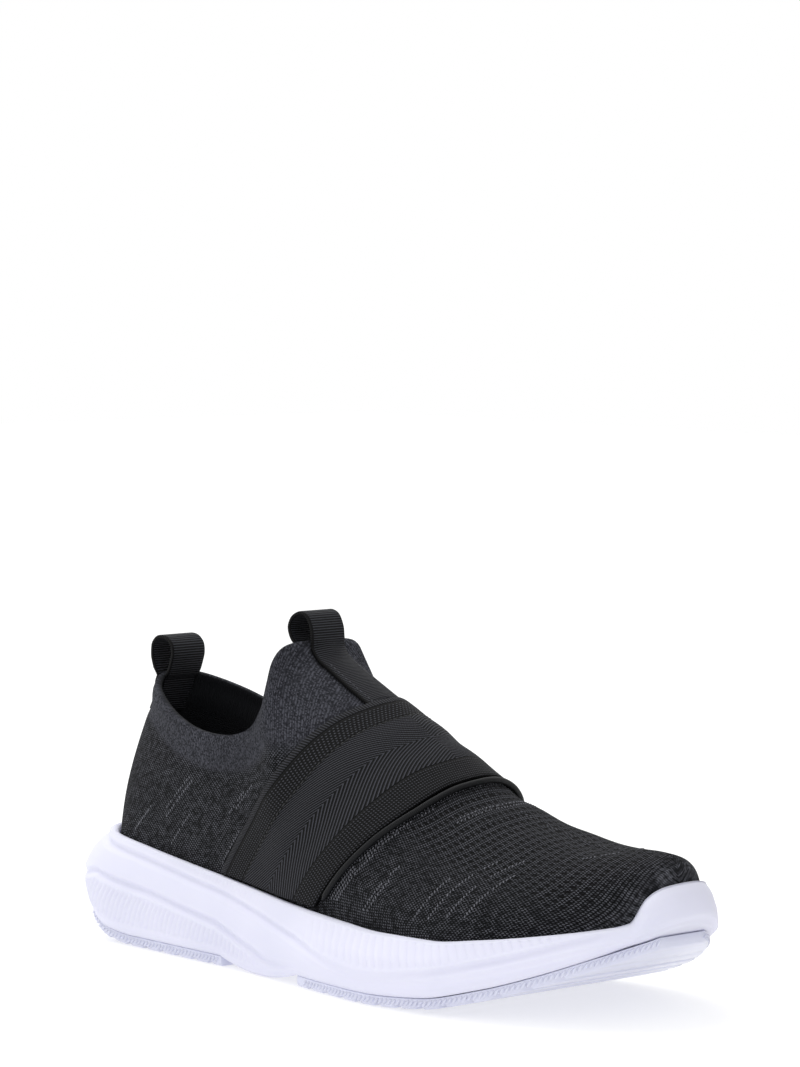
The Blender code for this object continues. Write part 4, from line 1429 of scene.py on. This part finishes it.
# %% Pale loops
YARN = {"cloud": (1800.0, 2.0, 0.3), "grain": (1800.0, 2.0), "relief": (0.00008, 0.5), "Sheen_Weight": 0.1}
VAMP_ROWS = (
    # ahead_mm, from_way, to_way
    (2.4, 0.05, 1.00),
    (4.0, 0.05, 0.55),
    (5.6, 0.05, 0.42),
    (7.2, 0.05, 0.30),
    (14.0, 0.55, 1.00),
    (16.0, 0.50, 1.00),
    (22.0, 0.04, 0.24),
    (24.0, 0.04, 0.20),
    (46.0, 0.04, 0.22),
    (52.0, 0.05, 0.27),
    (59.0, 0.06, 0.30),
    (66.0, 0.06, 0.25),
    (70.0, 0.40, 0.74),
)
QUARTER_ROWS = (
    # behind_mm, from_way, to_way
    (3.5, 0.05, 0.24),
    (12.0, 0.36, 0.50),
    (14.0, 0.33, 0.48),
    (33.0, 0.05, 0.26),
    (44.0, 0.22, 0.46),
    (47.0, 0.28, 0.48),
    (56.0, 0.06, 0.26),
)
BREAKS = np.random.default_rng(11)


def broken(spots, outs):
    """Splits a row into runs of uneven length with small gaps, as the yarn comes and goes."""
    runs, start = [], 0
    while start < len(spots) - 4:
        stop = min(start + int(BREAKS.integers(5, 14)), len(spots))
        runs.append((spots[start:stop], outs[start:stop]))
        start = stop + int(BREAKS.integers(1, 5))
    return runs


def yarn_lines(rows, column, sense):
    lines = []
    for distance, low, high in rows:
        for side in (-1.0, 1.0):
            count = int(12 + 70 * (high - low))
            way = np.linspace(low, high, count)
            along = smooth(STRAP, column, way) + sense * distance / 1000 / SOLE_LENGTH
            if along.max() > 0.94 or along.min() < 0.06:
                continue
            lines += broken(*on_skin(along, np.full(count, side), way, 0.0))
    return lines


pale = grainy("pale_yarn", ("4d4e55", "74757c"), Roughness=0.95, **YARN)
loops = yarn_lines(VAMP_ROWS, 2, 1) + yarn_lines(QUARTER_ROWS, 1, -1)
bar_rows("pale_yarn_loops", loops, pale, 0.0012, 0.0010, 0.00024, 0.9)

# %% [markdown]
# ## Sewing
# Dark thread holds the strap where its weaves change, and a fine thread holds both tapes along their
# sides.

# %% Sewing
SEAM_LIFT = 0.0021
TAPE_SEAM = 0.75


def strap_line(a, lift):
    side, way = over_the_foot(60, 0.03)
    rear, front = smooth(STRAP, 1, way), smooth(STRAP, 2, way)
    return on_skin(rear + (front - rear) * a, side, way, lift)


thread = grainy("dark_thread", ("0a0b0c", "17181b"), Roughness=0.6, **YARN)
seams = [strap_line(seam, SEAM_LIFT) for seam in (REAR_SEAM, FRONT_SEAM)]
bar_rows("strap_stitches", seams, thread, 0.0021, 0.0015, 0.00024)


def tape_edge(sections, share):
    k = int(np.argmin(np.abs(TAPE_SHARES - share)))
    spots = np.array([far[k] for _, far in sections])
    outs = np.array([unit(far[k] - near[k]) for near, far in sections])
    return spots, outs


tape_thread = grainy("tape_thread", ("26272d", "3d3e47"), Roughness=0.7, **YARN)
tongue = tongue_sections()[:20]
heel = heel_sections()[:9]
sewn = [tape_edge(part, share) for part in (tongue, heel) for share in (-TAPE_SEAM, TAPE_SEAM)]
bar_rows("tape_stitches", sewn, tape_thread, 0.0019, 0.0014, 0.00020)

# %% [markdown]
# ## Cords in the rubber's edge
# The toe's rubber rand is moulded like a row of slanted cords, which break up the light at the floor.

# %% Rubber cords
RAND_POINTS = 240
RAND_SPANS = ((0.52, TOE_PAD[1] - 0.001), (0.05, 0.325))


def rand_line(side, low, high):
    share = low + (high - low) * np.sin(np.linspace(0, math.pi / 2, RAND_POINTS))
    sides = np.full(RAND_POINTS, side)
    inset = side_inset(share, 0 * share) + PAD_INSET
    height = np.maximum(level(3, share), 0) + 0.55 * RUBBER
    return inset_point(share, sides, inset, height), outward(share, sides)


rand = [rand_line(side, low, high) for side in (-1.0, 1.0) for low, high in RAND_SPANS]
bar_rows("rubber_cords", rand, rubber_looks, 0.0019, 0.0030, 0.00058, 0.75)

# %% [markdown]
# ## Stage
# A white sheet lit from below and a white room give the soft, nearly shadowless light of a shop
# picture. A broad lamp overhead models the knit, and a smaller one behind the heel throws the soft
# grey shadow under the toe. A dark card beside the toe keeps light off the toe's far side. It shades
# the shoe and isn't itself in any picture. The lens is long, set by fitting the outline, so the shoe
# is seen almost without perspective.

# %% Floor, light and camera
FLOOR_REACH = 3.0
SHEET_GLOW = 0.52


def flat_sheet(name, corners, text, looks):
    """One dull four-cornered sheet and its shader."""
    mesh = bpy.data.meshes.new(name)
    mesh.from_pydata(corners, [], [(0, 1, 2, 3)])
    made, _, shader = material(looks, Roughness=0.9, Specular_IOR_Level=0.1)
    shader.inputs["Base Color"].default_value = (*colour(text), 1)
    mesh.materials.append(made)
    return linked(name, mesh), shader


corners = [(x * FLOOR_REACH, y * FLOOR_REACH, 0) for x, y in ((-1, -1), (1, -1), (1, 1), (-1, 1))]
floor, glow = flat_sheet("floor", corners, "c6c6c6", "lit_sheet")
glow.inputs["Emission Color"].default_value = (1, 1, 1, 1)
glow.inputs["Emission Strength"].default_value = SHEET_GLOW


def lamp(name, place, target, size, power):
    data = bpy.data.lights.new(name, "AREA")
    data.shape, data.size, data.energy = "DISK", size, power
    made = linked(name, data)
    made.location = place
    made.rotation_mode = "QUATERNION"
    made.rotation_quaternion = (Vector(target) - Vector(place)).to_track_quat("-Z", "Y")


world = bpy.data.worlds.new("room")
world.use_nodes = True
world.node_tree.nodes["Background"].inputs["Color"].default_value = (1, 1, 1, 1)
world.node_tree.nodes["Background"].inputs["Strength"].default_value = 1.0
bpy.context.scene.world = world
bpy.context.scene.view_settings.view_transform = "Standard"
lamp("overhead", (-0.35, 0.05, 1.0), (0, 0, 0.03), 0.8, 2.5)
lamp("heel_side", (-0.85, 0.0, 0.60), (0.0, 0, 0.04), 0.5, 1.3)

card_corners = [(0.22, 0.36, 0.01), (0.42, 0.16, 0.01), (0.42, 0.16, 0.40), (0.22, 0.36, 0.40)]
card, _ = flat_sheet("card", card_corners, "101010", "dark_card")
card.visible_camera = False

AZIMUTH, ELEVATION, ROLL = 44.415, 4.102, 0.695
DISTANCE, FOCAL_SHARE = 1.53775, 5.65970
SHIFT_RIGHT, SHIFT_UP = -0.0028856, -0.104236
a, e = math.radians(AZIMUTH), math.radians(ELEVATION)
right = Vector((math.cos(a), math.sin(a), 0))
back = Vector((math.sin(a) * math.cos(e), -math.cos(a) * math.cos(e), math.sin(e)))
up = back.cross(right)
eye = Vector((0, 0, 0.045)) + back * DISTANCE - right * SHIFT_RIGHT - up * SHIFT_UP + Vector(PLACE)
lens = bpy.data.cameras.new("camera")
lens.sensor_fit, lens.sensor_width = "HORIZONTAL", 36.0
lens.lens = 36.0 * FOCAL_SHARE
lens.clip_start, lens.clip_end = 0.05, 20.0
camera = linked("camera", lens)
turned = Matrix((right, up, back)).transposed().to_4x4()
turned.translation = eye
camera.matrix_world = turned @ Matrix.Rotation(math.radians(ROLL), 4, "Z")
bpy.context.scene.camera = camera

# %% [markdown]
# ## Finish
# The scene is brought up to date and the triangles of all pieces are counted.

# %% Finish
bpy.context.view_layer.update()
total = sum(len(made.data.loop_triangles) for made in made_pieces)
print(len(made_pieces), "pieces,", total, "triangles")
